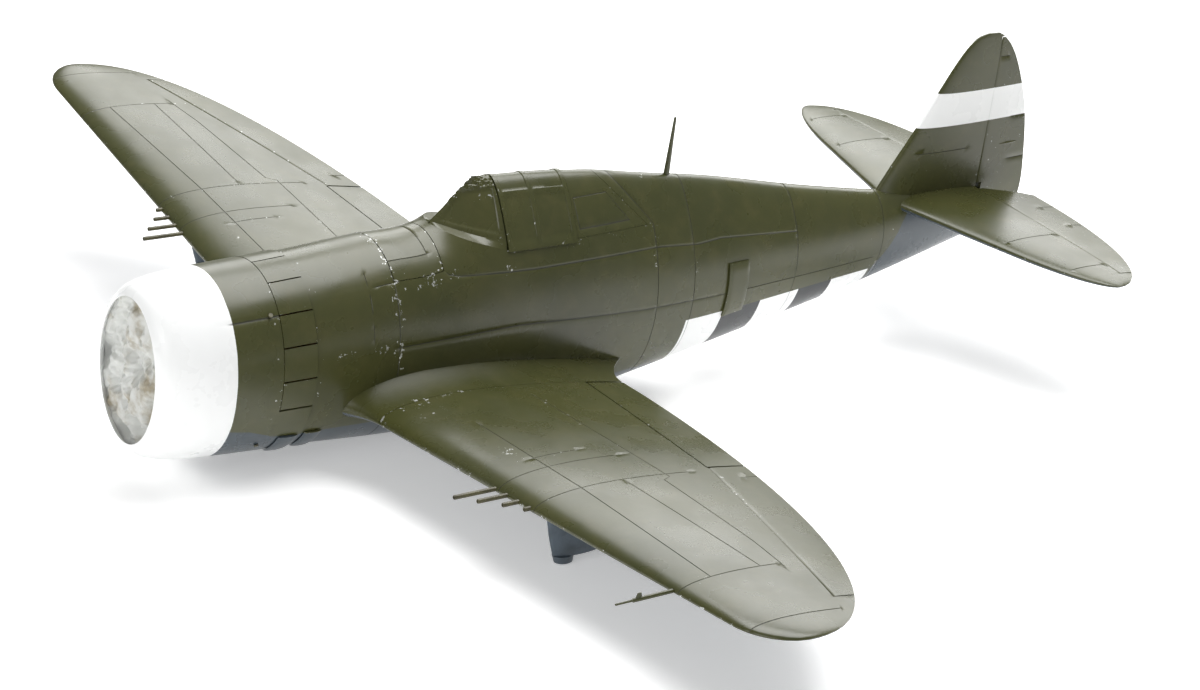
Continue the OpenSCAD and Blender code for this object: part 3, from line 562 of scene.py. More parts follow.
def cowl_markings(n, colour):
    colour = belly_grey(n, colour, NOSE_BELLY + ((150, -57),))
    wobble = n.math("MULTIPLY", n.math("SUBTRACT", n.noise(45.0, 2.0), 0.5), 0.0012)
    front = n.math("LESS_THAN", n.math("ADD", n.y, wobble), frame_y(57))
    return n.mix(front, colour, WHITE)


def fin_markings(n, colour):
    return n.mix(n.between(n.z, frame_z(101), frame_z(130.5)), colour, WHITE)


def plain(name, colour, darker, rough, metallic=0.0, scale=60.0, stretch=None, bump=0.15):
    """Moulded, sprayed or cast finish with mottling and a fine surface grain."""
    n = Nodes(name)
    cloud = n.noise(scale, 5.0, 0.6, stretch)
    n.set(Base_Color=n.mix(n.smoothly(cloud, 0.3, 0.7), darker, colour))
    n.set(Roughness=n.smoothly(cloud, 0.3, 0.7, rough + 0.08, rough - 0.05), Metallic=metallic)
    n.bump(n.noise(scale * 12, 3.0, 0.6, stretch), bump, 0.0002)
    return n.material


paint_fuselage = airframe_paint("fuselage_paint", fuselage_markings)
paint_cowl = airframe_paint("cowl_paint", cowl_markings)
paint_wing = airframe_paint("wing_paint", grey_below=True)
paint_fin = airframe_paint("fin_paint", fin_markings)
paint_olive = airframe_paint("olive_paint")
grey_paint = plain("sea_grey_paint", SEA_GREY, (0.085, 0.11, 0.135), 0.42, bump=0.1)
gun_paint = plain("gun_paint", (0.10, 0.092, 0.045), (0.055, 0.05, 0.025), 0.4, scale=180.0)
cockpit_paint = plain("cockpit_green", (0.09, 0.11, 0.05), (0.06, 0.075, 0.035), 0.6)
black_plastic = plain("black_plastic", (0.03, 0.03, 0.033), (0.018, 0.018, 0.02), 0.45)
servo_blue = plain("servo_blue", (0.02, 0.045, 0.22), (0.015, 0.03, 0.15), 0.3, bump=0.05)
nylon = plain("white_nylon", (0.75, 0.75, 0.72), (0.66, 0.66, 0.62), 0.4)
carbon = plain("carbon_tube", (0.03, 0.03, 0.032), (0.012, 0.012, 0.013), 0.3, stretch=(1, 14, 14))
steel = plain("steel_wire", (0.55, 0.56, 0.57), (0.4, 0.4, 0.41), 0.28, 1.0, 220.0)
alloy = plain("cast_alloy", (0.4, 0.41, 0.42), (0.27, 0.28, 0.29), 0.48, 0.9, 140.0, bump=0.3)
motor_black = plain("motor_black", (0.025, 0.025, 0.028), (0.012, 0.012, 0.014), 0.3, 0.4)
battery_wrap = plain("battery_wrap", (0.03, 0.12, 0.35), (0.02, 0.08, 0.25), 0.22, scale=30.0)


def plywood_material():
    n = Nodes("plywood")
    grain = n.noise(30.0, 6.0, 0.65, (1.0, 1.0, 14.0))
    n.set(Base_Color=n.mix(n.smoothly(grain, 0.3, 0.7), (0.36, 0.22, 0.1), (0.56, 0.4, 0.22)), Roughness=0.62)
    n.bump(grain, 0.3, 0.0003)
    return n.material


def tissue_material():
    """Thin soft paper: bright, slightly see-through, with fine fibres and faint greasy smudges."""
    n = Nodes("tissue_paper")
    smudge = n.noise(38.0, 5.0, 0.6)
    fibre = n.noise(700.0, 5.0, 0.7, (1.0, 1.0, 2.4))
    colour = n.mix(n.smoothly(smudge, 0.47, 0.72), (0.62, 0.63, 0.605), (0.34, 0.30, 0.22))
    n.set(Base_Color=colour, Roughness=0.78, Specular_IOR_Level=0.2)
    n.set(Subsurface_Weight=0.25, Subsurface_Radius=(0.004, 0.004, 0.0035), Subsurface_Scale=1.0)
    n.bump(fibre, 0.35, 0.0003)
    return n.material


plywood = plywood_material()
tissue_paper = tissue_material()


def random_field(points, size, seed):
    """Smooth noise from -1 to 1 at design points."""
    shift = Vector((seed * 13.7, seed * 7.1, seed * 3.3))
    return np.array([noise.noise(Vector(p) / size + shift) for p in np.reshape(points, (-1, 3))])


# ---- fuselage ----
def screen_edge(y):
    return 79 - (79 - SILL_Z) * (y - 246) / 53


def low_line(y):
    z = np.interp(y, [124, 194, 305, 431, 517, 713, 822], [8, 8, 8, 0, -2, -3, 2])
    return angle_at(FUSELAGE, y, z)


def side_line(y):
    z = np.interp(y, [241, 253, 323, 444, 487, 512, 589, 700, 822], [53.5, 51, 48, 47, 43, 44, 37, 24, 22])
    return np.where(y < 241.5, HATCH_A, angle_at(FUSELAGE, y, z))


def opening_line(y):
    z = np.interp(y, [299, 437, 517, 604, 700, 822], [64, 64, 62, 50, 38, 29])
    z = np.where(y < 299, screen_edge(y), z)
    return np.where(y < SCREEN_Y, 86.0, np.minimum(angle_at(FUSELAGE, y, z), 86.0))


def leaned(y, angle, share):
    """Stations that lean forward above the sill by a share of the glazing's slant."""
    moved = y
    for _ in range(6):
        z = body(FUSELAGE, moved, angle)[..., 2]
        moved = y - share * GLAZING_LEAN * np.maximum(0, z - SILL_Z)
    return moved


LEAN_END_Y = 482.0
PANEL_RINGS = (HATCH_Y[0], 443.0, LEAN_END_Y, 598.0, 702.0)
VENT_Y = 173.0
VENT_ANGLES = ((17, 27), (34, 45), (52, 62))
# Chipped places: from y, to y, from z, to z, amount
FUSELAGE_CHIPS = (
    (124, 130, -20, 66, 0.5), (140, 196, 5, 11, 0.7), (192, 199, -10, 74, 0.75), (241, 246, 40, 80, 0.5),
    (199, 253, 48, 55, 0.75), (296, 332, 57, 64, 0.7), (296, 302, 48, 64, 0.7), (362, 440, 60, 66, 0.45),
    (440, 447, 20, 98, 0.55), (480, 485, -8, 70, 0.35), (520, 545, 14, 20, 0.5), (690, 712, -20, 50, 0.4))


def fuselage():
    fixed = (HATCH_Y[1], SCREEN_Y, 299.0, GLAZING_SILL_Y)
    rows = rows_with(124.0, 821.0, 3.4, PANEL_RINGS + (VENT_Y,), fixed)
    tracks = ((-90.0, False), (-40.0, False), (low_line(rows), True), (side_line(rows), True),
              (opening_line(rows), False), (90.0, False))
    angles, owner = columns(rows, tracks, 3.0)
    angles = np.clip(angles, -90, 90)
    y, _ = grid(rows, angles[0])
    column = np.arange(angles.shape[1])
    opening = owner.index(4)
    # Rows just aft of the cockpit lean forward to meet the slanted end of the glazing
    above = (column > opening) & (y >= GLAZING_SILL_Y - 0.01) & (y < LEAN_END_Y)
    share = np.clip((LEAN_END_Y - y) / (LEAN_END_Y - GLAZING_SILL_Y), 0, 1)
    y = np.where(above, leaned(y, angles, share), y)
    line = np.zeros_like(y)
    engrave_columns(line, owner, 2, (rows > 194) & (rows < 698))
    engrave_columns(line, owner, 3, ((rows > 241) & (rows < 598)) | ((rows > 180) & (rows < 195)))
    for ring in PANEL_RINGS:
        engrave_rows(line, rows, ring, (column < opening) | (ring != HATCH_Y[0]))
    for low, high in VENT_ANGLES:
        engrave_rows(line, rows, VENT_Y, (angles > low) & (angles < high))
    outer = body(FUSELAGE, y, angles, -GROOVE * line)
    inner = body(FUSELAGE, y, angles, -SKIN)
    wear = np.maximum.reduce([
        amount * within(outer[..., 1], y0, y1, 3.0) * within(outer[..., 2], z0, z1, 3.0)
        for y0, y1, z0, z1, amount in FUSELAGE_CHIPS])
    gap = ((rows[:-1] + rows[1:]) / 2)[:, None]
    side_edge = len(owner) - 1 - owner[::-1].index(3)
    cockpit = (gap > SCREEN_Y) & (gap < GLAZING_SILL_Y) & (column[:-1] >= opening)
    hatch = (gap > HATCH_Y[0]) & (gap < HATCH_Y[1]) & (column[:-1] >= side_edge)
    skin = Patches()
    for mirror in (False, True):
        skin.shell(outer, inner, ~(cockpit | hatch), line, wear, mirror=mirror)
    made = skin.made("fuselage_skin", "airframe", paint_fuselage)
    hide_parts("fuselage_left", "fuselage_right")


def battery_hatch():
    rows = rows_with(HATCH_Y[0] + 0.6, HATCH_Y[1] - 0.6, 3.0, (231.0,))
    tracks = ((HATCH_A + 0.6, False), (64.0, True), (90.0, True), (116.0, True), (180 - HATCH_A - 0.6, False))
    angles, owner = columns(rows, tracks, 3.0)
    y, _ = grid(rows, angles[0])
    line = np.zeros_like(y)
    for track in (1, 3):
        engrave_columns(line, owner, track, rows < 231.5)
    engrave_rows(line, rows, 231, np.abs(angles - 90) < 26)
    outer = body(FUSELAGE, y, angles, -GROOVE * line)
    edge = np.minimum(y - rows[0], rows[-1] - y)
    edge = np.minimum(edge, np.abs(np.abs(angles - 90) - 40.4))
    hatch = Patches()
    hatch.shell(outer, body(FUSELAGE, y, angles, -SKIN), None, line, 0.85 * ramp(edge, 0.5, 4.0))
    made = hatch.made("hatch_cover", "hatch", paint_fuselage)
    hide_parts("battery_hatch")


def cowling():
    angles = np.concatenate([np.linspace(-90, 40, 44), [43.0, 43.6, 44.4, 45.0], np.linspace(48, 90, 15)])
    mirrored = 180 - angles[-2:0:-1]
    angles = np.concatenate([angles, mirrored])
    # Outside from the back to the lip, then inside from the lip to the back: y, growth
    profile = [(y, 0) for y in (95, 94, 86, 76, 66, 58, 50, 42, 34, 26, 20, 15, 11, 8, 6, 4.5, 3, 1.8, 0.9)]
    profile += [(0.3, -0.05), (0, -0.35), (0.3, -0.9), (1, -2), (2, -3.1), (3, -4), (8, -3.2), (14, -2.4),
                (24, -2), (36, -2), (72, -2), (95, -2)]
    seam = (np.abs(np.abs(angles - 90) - 46) < 0.5).astype(float)
    sections = Sections()
    for y, grow in profile:
        line = seam * (y > 55 and grow == 0)
        sections.add(body(COWL, np.full_like(angles, y), angles, grow - GROOVE * line), line, 0.6 * (y > 93))
    cowl = Patches()
    cowl.loft(*sections.values(), looped=True)
    # Fixed skirt under the cowl flaps
    y, a = grid(np.linspace(COWL_END - 1, FLAP_END, 8), np.linspace(-165, -15, 60))
    cowl.shell(body(COWL, y, a, 0.0), body(COWL, y, a, -SKIN), wear=0.3 * ramp(FLAP_END - y, 1, 4))
    made = cowl.made("engine_cowl", "airframe", paint_cowl)
    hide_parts("cowling")


def cowl_flaps():
    flaps = Patches()
    edges = (-14, 4, 24, 44, 67, 90)
    first = COWL_END + 0.5
    for mirror in (False, True):
        for low, high in zip(edges, edges[1:]):
            sides = np.linspace(low + 0.5, high - 0.5, 10)
            y, a = grid(np.linspace(first, FLAP_END, 9), sides)
            near = np.minimum(a - sides[0], sides[-1] - a)
            corner = ramp(near, 0.3, 3.0) * ramp(np.minimum(y - first, FLAP_END - y), 1.0, 9.0)
            wear = np.maximum(0.95 * corner, 0.55 * ramp(FLAP_END - y, 0.5, 2.5))
            lift = 0.2 + 0.4 * (y - first) / 27.5
            flaps.shell(body(COWL, y, a, lift), body(COWL, y, a, -0.8), wear=wear, mirror=mirror)
        # Oil cooler doors
        for start, end, table in ((103, 120, COWL), (126, 141, FUSELAGE)):
            y, a = grid(np.linspace(start, end, 10), np.linspace(-62, -38, 10))
            swell = np.sin(np.pi * np.clip((y - start) / (end - start), 0, 1)) ** 0.5
            wear = 0.6 * ramp(np.minimum(a + 62, -38 - a), 0.5, 3)
            flaps.shell(body(table, y, a, 0.9 + 1.1 * swell), body(table, y, a, 0.6), wear=wear, mirror=mirror)
    made = flaps.made("cooling_flaps", "airframe", paint_cowl)
    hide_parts("cowl_flaps")


def intercooler_doors():
    doors = Patches()
    for mirror in (False, True):
        y, a = grid(np.linspace(519, 541, 12), np.linspace(-20, 16, 14))
        edge = np.minimum(np.minimum(y - 519, 541 - y), 0.6 * np.minimum(a + 20, 16 - a))
        lift = 1.7 + 1.1 * np.clip(edge / 2.5, 0, 1)
        wear = 0.7 * ramp(edge, 0, 2.5)
        doors.shell(body(FUSELAGE, y, a, lift), body(FUSELAGE, y, a, 0.3), wear=wear, mirror=mirror)
    made = doors.made("intercooler_covers", "airframe", paint_olive)
    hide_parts("intercooler_doors")


def hood():
    rows = rows_with(HOOD_Y[0], HOOD_Y[1], 1.6, (), (301.5, 302.1, 326.0, 326.6, 330.0, 330.6, 359.5, 360.1))
    tracks = [(angle, False) for angle in (HOOD_A, 39.0, 40.0, 63.5, 64.5, 67.5, 68.5, 90.0)]
    half, _ = columns(rows, tracks, 2.4)
    angles = np.concatenate([half, 180 - half[:, -2::-1]], axis=1)
    y, _ = grid(rows, angles[0])
    fold = np.abs(angles - 90)
    bow = (y < 301.8) | ((y > 326.3) & (y < 330.3)) | (y > 359.8)
    rail = (fold > 50.2) | ((fold > 22) & (fold < 26))
    lift = np.where(bow | rail, 1.5, 0.95)
    wear = 0.5 * ramp(np.abs(y - 299), 0, 4) + 0.35 * ramp(np.abs(y - 328), 2, 4) * (fold > 20)
    wear = np.maximum(wear, 0.5 * ramp(53.5 - fold, 0.5, 3))
    cover = Patches()
    cover.shell(body(FUSELAGE, y, angles, lift), body(FUSELAGE, y, angles, 0.35), wear=wear)
    made = cover.made("sliding_hood", "canopy", paint_olive, 30.0)
    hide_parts("canopy_hood")


def rear_glazing():
    start = HOOD_Y[1] + 1
    end = GLAZING_SILL_Y - 0.4
    window = (369.0, 424.0)
    rows = rows_with(start, end, 2.6, window)
    share = (rows - start) / (end - start)

    def across(z):
        """Angle of the height z on each leaned row."""
        return angle_at(FUSELAGE, rows - share * GLAZING_LEAN * (z - SILL_Z), z)

    tracks = ((angle_at(FUSELAGE, rows, SILL_Z + 0.2), False), (across(70.0), True),
              (np.minimum(across(91.0), 78.0), True), (90.0, False))
    half, owner = columns(rows, tracks, 2.6)
    owner = owner + owner[-2::-1]
    angles = np.concatenate([half, 180 - half[:, -2::-1]], axis=1)
    y, _ = grid(rows, angles[0])
    moved = leaned(y, angles, (y - rows[0]) / (rows[-1] - rows[0]))
    z = body(FUSELAGE, moved, angles)[..., 2]
    line = np.zeros_like(y)
    for track in (1, 2):
        engrave_columns(line, owner, track, (rows > 368.6) & (rows < 424.4))
    for mark in window:
        near = np.abs(rows - mark) < LINE_REACH
        line[near] = (z[near] > 69.6) & (z[near] < 91.4)
    wear = 0.6 * ramp(rows[-1] - y, 1, 5) + 0.3 * ramp(z - SILL_Z, 0, 3)
    outer = body(FUSELAGE, moved, angles, -GROOVE * line)
    glazing = Patches()
    glazing.shell(outer, body(FUSELAGE, moved, angles, -1.2), None, line, wear)
    made = glazing.made("quarter_glazing", "airframe", paint_olive)
    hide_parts("rear_quarter_glazing")


def windscreen():
    """Painted-over panes under a crumpled strip of masking, on the narrow sill."""
    screen = Patches()
    cockpit_middle = np.array([0, 300, 80])
    for mirror in (False, True):
        s, t = grid(np.linspace(0, 1, 60), np.linspace(0, 1, 60))
        ridge = np.stack([0 * s, 282 - 34 * s, 111 - 31 * s], axis=-1)
        bow = body(FUSELAGE, np.full_like(s, 298.0), 90 - 49 * s)
        pane = ridge + (bow - ridge) * t[..., None]
        pane[..., 0] += 20 * t * (1 - t) * s
        inward = cockpit_middle - pane
        inward /= np.linalg.norm(inward, axis=-1, keepdims=True)
        # Distance to the nearest frame, then the panes sunk between the frames
        frame_edge = np.minimum(np.minimum(t * 26, (1 - t) * 26), (1 - s) * 34)
        frame_edge = np.where(s > 0.86, frame_edge, np.minimum(frame_edge, (s + 0.2) * 60))
        depth = 0.95 * (1 - ramp(frame_edge, 2.0, 2.7))
        folds = random_field(pane * np.array([1, 0.8, 2.6]), 5.5, 3 + mirror).reshape(s.shape)
        fine_folds = random_field(pane * np.array([1, 0.8, 3.0]), 2.6, 9 + mirror).reshape(s.shape)
        creases = 1 - np.abs(folds) * 2.6 + 0.4 * (1 - np.abs(fine_folds) * 2.6)
        # The strip of masking: how much of it lies at each place
        strip = np.maximum(ramp(s, 0.26, 0.36), 0.85 * ramp(t, 0.02, 0.09) * ramp(s, 0.5, 0.7))
        depth = depth * (1 - strip) - strip * (0.35 + 1.25 * np.clip(creases, -0.4, 1.2))
        depth = np.where((t > 0.999) | (s > 0.999), 0.0, depth)
        outer = pane + inward * depth[..., None]
        # A narrow flange down to the body
        sill_y = 247 + 50.5 * t[0]
        sill = body(FUSELAGE, sill_y, np.minimum(89.0, angle_at(FUSELAGE, sill_y, screen_edge(sill_y))), -0.1)
        steps = np.linspace(0, 1, 5)[1:]
        flange = np.array([outer[-1] + (sill - outer[-1]) * k for k in steps])
        outer = np.concatenate([outer, flange])
        inner = np.concatenate([pane, flange])
        inner = inner + 1.5 * (cockpit_middle - inner) / 32
        worn = 0.7 * ramp(np.abs(s - 0.45), 0.02, 0.1) + 0.5 * ramp(1 - s, 0.0, 0.08)
        wear = np.concatenate([worn, np.full((4, 60), 0.35)])
        screen.shell(outer, inner, wear=wear, mirror=mirror)
    made = screen.made("masked_windscreen", "airframe", paint_olive, 28.0)
    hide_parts("windscreen")


# ---- wing ----
def wing(side_name, mirror):
    chordwise = ((215.0, 205, 251), (232.0, 165, 279), (272.0, 163, 311), (425.0, 166, 262), (492.0, 178, 262))
    steps = (266.4, 267.4, 477.2, 477.8, 505.0, 511.0, 515.0, 517.2)
    rows = rows_with(WING_ROOT_X, 517.9, 4.5, [mark for mark, _, _ in chordwise], steps)
    front_edge = wing_le(rows)
    back_edge = np.where(rows < FLAP_END_X, flap_y(rows) - 0.6, hinge_y(rows) - 2.7)
    back_edge = np.where(rows > AILERON_END_X, wing_te(rows), back_edge)

    def spanwise(y):
        """A spanwise line, squeezed in between the two edges near the tip."""
        depth = back_edge - front_edge
        return np.clip(y, front_edge + 0.25 * depth, front_edge + 0.9 * depth)

    spar = spanwise(247.0)
    apart = 4 * np.minimum(1, (518.3 - rows) / 12)
    front = np.minimum(spanwise(200.0), spar - apart)
    rear = spanwise(np.where(rows < 277, 285.0, np.interp(rows, [277, 389, 431, 518], [277, 270, 264, 252])))
    rear = np.maximum(rear, spar + apart)
    narrow = np.minimum(1.0, (518.4 - rows) / 30)
    tracks = ((front_edge, False), (front, True, narrow), (spar, True, narrow), (rear, True, narrow),
              (back_edge, False))
    places, owner = columns(rows, tracks, 5.0)
    # Crowd the columns towards the leading edge
    first = owner.index(1) - 1
    le = front_edge[:, None]
    nose = le + (places[:, first:first + 1] - le) * np.linspace(0, 1, 16)[None, :] ** 2.2
    y = np.concatenate([nose, places[:, first + 1:]], axis=1)
    owner = [None] * 16 + owner[first + 1:]
    x, _ = grid(rows, y[0])
    line = np.zeros_like(x)
    for track, low, high in ((1, 143, 425), (2, 273, 425), (3, 108, 431)):
        engrave_columns(line, owner, track, (rows > low) & (rows < high))
    for mark, low, high in chordwise:
        engrave_rows(line, rows, mark, (y > low) & (y < high))
    upper = xyz(x, y, wing_z(x, y, 1, -GROOVE * line))
    lower = xyz(x, y, wing_z(x, y, -1, -GROOVE * line))
    middle = (wing_z(x, y, 1) + wing_z(x, y, -1)) / 2
    to_cut = back_edge[:, None] - y
    thin = np.clip(0.3 + to_cut * 0.12, 0.3, WING_SKIN)
    skin = np.where((x > FLAP_END_X) & (x < AILERON_END_X), thin, WING_SKIN)
    upper_in = xyz(x, y, np.maximum(upper[..., 2] - skin, middle + 0.02))
    lower_in = xyz(x, y, np.minimum(lower[..., 2] + skin, middle - 0.02))
    spots = ((93, 112), (143, 162), (188, 216))
    wear = np.maximum.reduce([
        0.55 * ramp(y - le, 0.0, 1.6),
        1.1 * ramp(x, 90, 97) * ramp(y, 205, 300),
        0.9 * ramp(np.abs(x - 104), 10, 18) * ramp(np.abs(y - 186), 8, 16),
        *(0.9 * (within(x, x0, x1, 4) * ramp(np.abs(y - 200), 2, 6)) for x0, x1 in spots),
        0.7 * ramp(np.abs(x - 215), 1.5, 4) * ramp(np.abs(y - 228), 24, 30),
        0.5 * ramp(np.abs(x - 272), 1, 3) * ramp(np.abs(y - 230), 50, 60),
        0.75 * ramp(np.abs(y - 285), 0.8, 2.0) * (x < 215),
        0.4 * ramp(to_cut, 0.5, 2.0),
        0.4 * ramp(np.abs(x - 425), 1, 3)])

    def wrapped(top, low):
        """Over the top from the back edge to the nose, and back underneath."""
        return np.concatenate([top[:, ::-1], low[:, 1:]], axis=1)

    under = wrapped(0 * line, (y > le + 0.5).astype(float))
    skins = Patches()
    skins.shell(wrapped(upper, lower), wrapped(upper_in, lower_in), None, wrapped(line, line),
                wrapped(wear, 1.4 * wear), under, mirror)
    made = skins.made("wing_skin_" + side_name, "airframe", paint_wing, 32.0)
    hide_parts(side_name + "_wing_upper_skin", side_name + "_wing_lower_skin")


def fillets():
    """Concave fairings that blend the wing roots into the body."""
    chord = np.concatenate([np.linspace(0, 1, 20) ** 2.2 * 0.2, np.linspace(0.2, 1, 44)[1:]])
    under = np.concatenate([0 * chord, np.ones_like(chord)])
    under[-3:] = 0
    sections = Sections()
    for x in np.linspace(WING_ROOT_X - 0.4, 38, 34):
        g = ((WING_ROOT_X - x) / 40) ** 2
        fore = wing_le(x) - 12 * g
        y = fore + chord * (wing_te(x) + 24 * g - fore)
        flat_y = wing_le(x) + chord * (wing_te(x) - wing_le(x))
        swell = np.sin(np.pi * np.sqrt(chord))
        top = xyz(x, y, wing_z(x, flat_y, 1) + 14 * g * swell)
        low = xyz(x, y, wing_z(x, flat_y, -1) - 5 * g * swell)
        wear = 1.1 * ramp(WING_ROOT_X - x, 1.0, 5.0) * ramp(y, 205, 300)
        wear = np.maximum(wear, 0.5 * ramp(y - fore, 0, 2))
        sections.add(np.concatenate([top, low[::-1]]), 0.0, there_and_back(wear), under)
    fairings = Patches()
    for mirror in (False, True):
        fairings.loft(*sections.values(), mirror=mirror)
    made = fairings.made("wing_root_fillets", "airframe", paint_wing, 40.0)
    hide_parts("wing_fillets")


def aileron(side_name, mirror):
    trim_tab = 287.0
    t = np.linspace(0, 1, 12)
    sections = Sections()
    for x in rows_with(FLAP_END_X + 0.5, 476.5, 9.0, (trim_tab,)):
        hy = hinge_y(x)
        r = nose_r(x)
        mid = (wing_z(x, hy, 1) + wing_z(x, hy, -1)) / 2
        nose = xyz(x, hy + r * np.cos(NOSE_TURN), mid + r * np.sin(NOSE_TURN))
        y = hy + t * (wing_te(x) - hy)
        tab = is_near(x, trim_tab) * (y > 0.62 * wing_te(x) + 0.38 * hy).astype(float)
        low = xyz(x, y, wing_z(x, y, -1))
        top = xyz(x, y, wing_z(x, y, 1, -GROOVE * tab))
        wear = 0.6 * ramp(y - hy, 0.5, 3.0)
        sections.add(np.concatenate([nose, low, top[::-1]]),
                     np.concatenate([0 * NOSE_TURN, 0 * t, tab[::-1]]),
                     np.concatenate([0.5 + 0 * NOSE_TURN, 0.15 + 0 * t, wear[::-1]]),
                     np.concatenate([NOSE_TURN > np.pi, 1 + 0 * t, 0 * t]))
    surface = Patches()
    surface.loft(*sections.values(), mirror=mirror)
    axes = linkage_axes(hinge_point(267.4), hinge_point(476.5))
    plate(surface, hinge_point(330.0), axes, horn_outline(14.0, 1 - float(nose_r(330.0))), mirror)
    made = surface.made("aileron_skin_" + side_name, "aileron_" + side_name + "_surface", paint_wing, 32.0)
    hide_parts("aileron_" + side_name)


def unit(v):
    return np.asarray(v, float) / np.linalg.norm(v)


def linkage_axes(p, q):
    """Axes along a hinge from p to q, across it, and near upright."""
    e1 = unit(np.subtract(q, p))
    e3 = unit(np.array([0, 0, 1]) - e1 * e1[2])
    return e1, np.cross(e3, e1), e3


def hinge_point(x):
    y = hinge_y(x)
    return np.array([x, y, float(wing_z(x, y, 1) + wing_z(x, y, -1)) / 2])


def flap_axis(x):
    y = flap_y(x) + 0.6
    return np.array([x, y, float(wing_z(x, y, -1)) + 1.6])


def plate(patches, centre, axes, outline, mirror):
    """Flat plate across the first axis with a rounded outline in the other two."""
    e1, e2, e3 = axes
    middle = np.mean(outline, axis=0)
    rings = []
    for t, shrink in ((-HORN_HALF, 0.9), (-HORN_HALF * 0.8, 1.0), (HORN_HALF * 0.8, 1.0), (HORN_HALF, 0.9)):
        points = middle + (outline - middle) * shrink
        rings.append([centre + e1 * t + e2 * p[0] + e3 * p[1] for p in points])
    patches.loft(rings, mirror=mirror)


def horn_outline(reach, top):
    turn = np.radians(np.linspace(0, -180, 12))
    foot = np.stack([2.4 * np.cos(turn), -reach + 2.4 * np.sin(turn)], -1)
    return np.concatenate([[[2.6, top]], foot, [[-2.6, top]]])



def flap(side_name, mirror):
    t = np.linspace(0, 1, 14)
    sections = Sections()
    for x in rows_with(90.0, 265.5, 9.0, ()):
        start = flap_y(x) + 0.6
        y = start + t * (wing_te(x) - start)
        low = xyz(x, y, wing_z(x, y, -1))
        top = xyz(x, y, wing_z(x, y, 1))
        wear = 0.5 * ramp(y - start, 0.3, 2.0)
        sections.add(np.concatenate([low, top[::-1]]), 0.0, np.concatenate([0 * t, wear[::-1]]),
                     np.concatenate([1 + 0 * t, 0 * t]))
    surface = Patches()
    surface.loft(*sections.values(), mirror=mirror)
    axes = linkage_axes(flap_axis(90.0), flap_axis(266.4))
    plate(surface, flap_axis(172.0), axes, horn_outline(14.0, 0.6), mirror)
    made = surface.made("flap_skin_" + side_name, "flap_" + side_name + "_surface", paint_wing, 32.0)
    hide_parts("flap_" + side_name)


# ---- tail ----
def fin():
    rib = 78.0
    chord = np.concatenate([np.linspace(0, 1, 10) ** 2 * 0.2, np.linspace(0.2, 1, 20)[1:]])
    sections = Sections()
    for z in rows_with(28.0, 180.4, 5.0, (rib,), (176.4, 176.6, 170.0, 178.5)):
        front = smooth(FIN, 1, z)
        back = RUDDER_Y - 2.2 if z < 176.5 else smooth(FIN, 2, z)
        y = front + chord * (back - front)
        groove = is_near(z, rib) * ((y > 742) & (y < 800)).astype(float)
        half = fin_half(z, y) - GROOVE * groove
        wear = np.maximum(0.35 * ramp(y - front, 0, 2), 0.35 * ramp(back - y, 0.5, 3))
        sections.add(np.concatenate([xyz(half, y, z), xyz(-half, y, z)[::-1]]),
                     there_and_back(groove), there_and_back(wear))
    skin = Patches()
    skin.loft(*sections.values())
    made = skin.made("fin_skin", "airframe", paint_fin, 40.0)
    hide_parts("fin")


def rudder():
    ribs = (61.0, 101.0)
    balance = 158.5
    joiner = (28.6, 41.4)
    rows = rows_with(-5.0, 175.6, 6.0, ribs + (balance,))
    t = np.linspace(0, 1, 14)
    sections = Sections()
    for z in rows:
        r = float(fin_half(z, RUDDER_Y))
        nose = xyz(r * np.sin(NOSE_TURN), RUDDER_Y + r * np.cos(NOSE_TURN), z)
        y = RUDDER_Y + t * (smooth(FIN, 2, z) - RUDDER_Y)
        groove = is_near(z, *ribs) * (t > 0.55) + is_near(z, balance) * (t < 0.6)
        half = fin_half(z, y) - 0.25 * groove
        sections.add(np.concatenate([nose, xyz(-half, y, z), xyz(half, y, z)[::-1]]),
                     np.concatenate([0 * NOSE_TURN, groove, groove[::-1]]), 0.25)
    low = [i for i, z in enumerate(rows) if z <= joiner[0]]
    high = [i for i, z in enumerate(rows) if z >= joiner[1]]
    blade = Patches()
    blade.loft(*sections.values(low))
    blade.loft(*sections.values(high))
    # Between the two, the nose is cut back to clear the elevator joiner
    rings, line, wear, under = sections.values(range(low[-1], high[0] + 1))
    rings[..., 1] = np.maximum(rings[..., 1], RUDDER_Y + 4.6)
    blade.loft(rings, line, wear, under)
    # Horn for the pushrod, on the pilot's right
    arm = [[-14.4, 0.0], [-13.8, 1.6], [-12.0, 2.4], [2.0, 2.6], [2.0, -2.6], [-12.0, -2.4], [-13.8, -1.6]]
    blade.loft([[[p[0], RUDDER_Y + p[1], z] for p in arm] for z in (5.2, 6.0, 6.8)])
    # Actuator fairing of the trim tab
    around = np.radians(np.arange(0, 360, 30))
    rings = []
    for s in np.linspace(0, 1, 9):
        bulge = 1.3 * math.sin(math.pi * s) ** 0.6 + 0.05
        y = 837 + 25 * s
        x = float(fin_half(76.0, y)) - 0.3
        rings.append(xyz(x + bulge * np.cos(around), y, 76 + bulge * np.sin(around)))
    blade.loft(rings)
    made = blade.made("rudder_skin", "rudder_blade", paint_fin, 40.0)
    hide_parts("rudder")


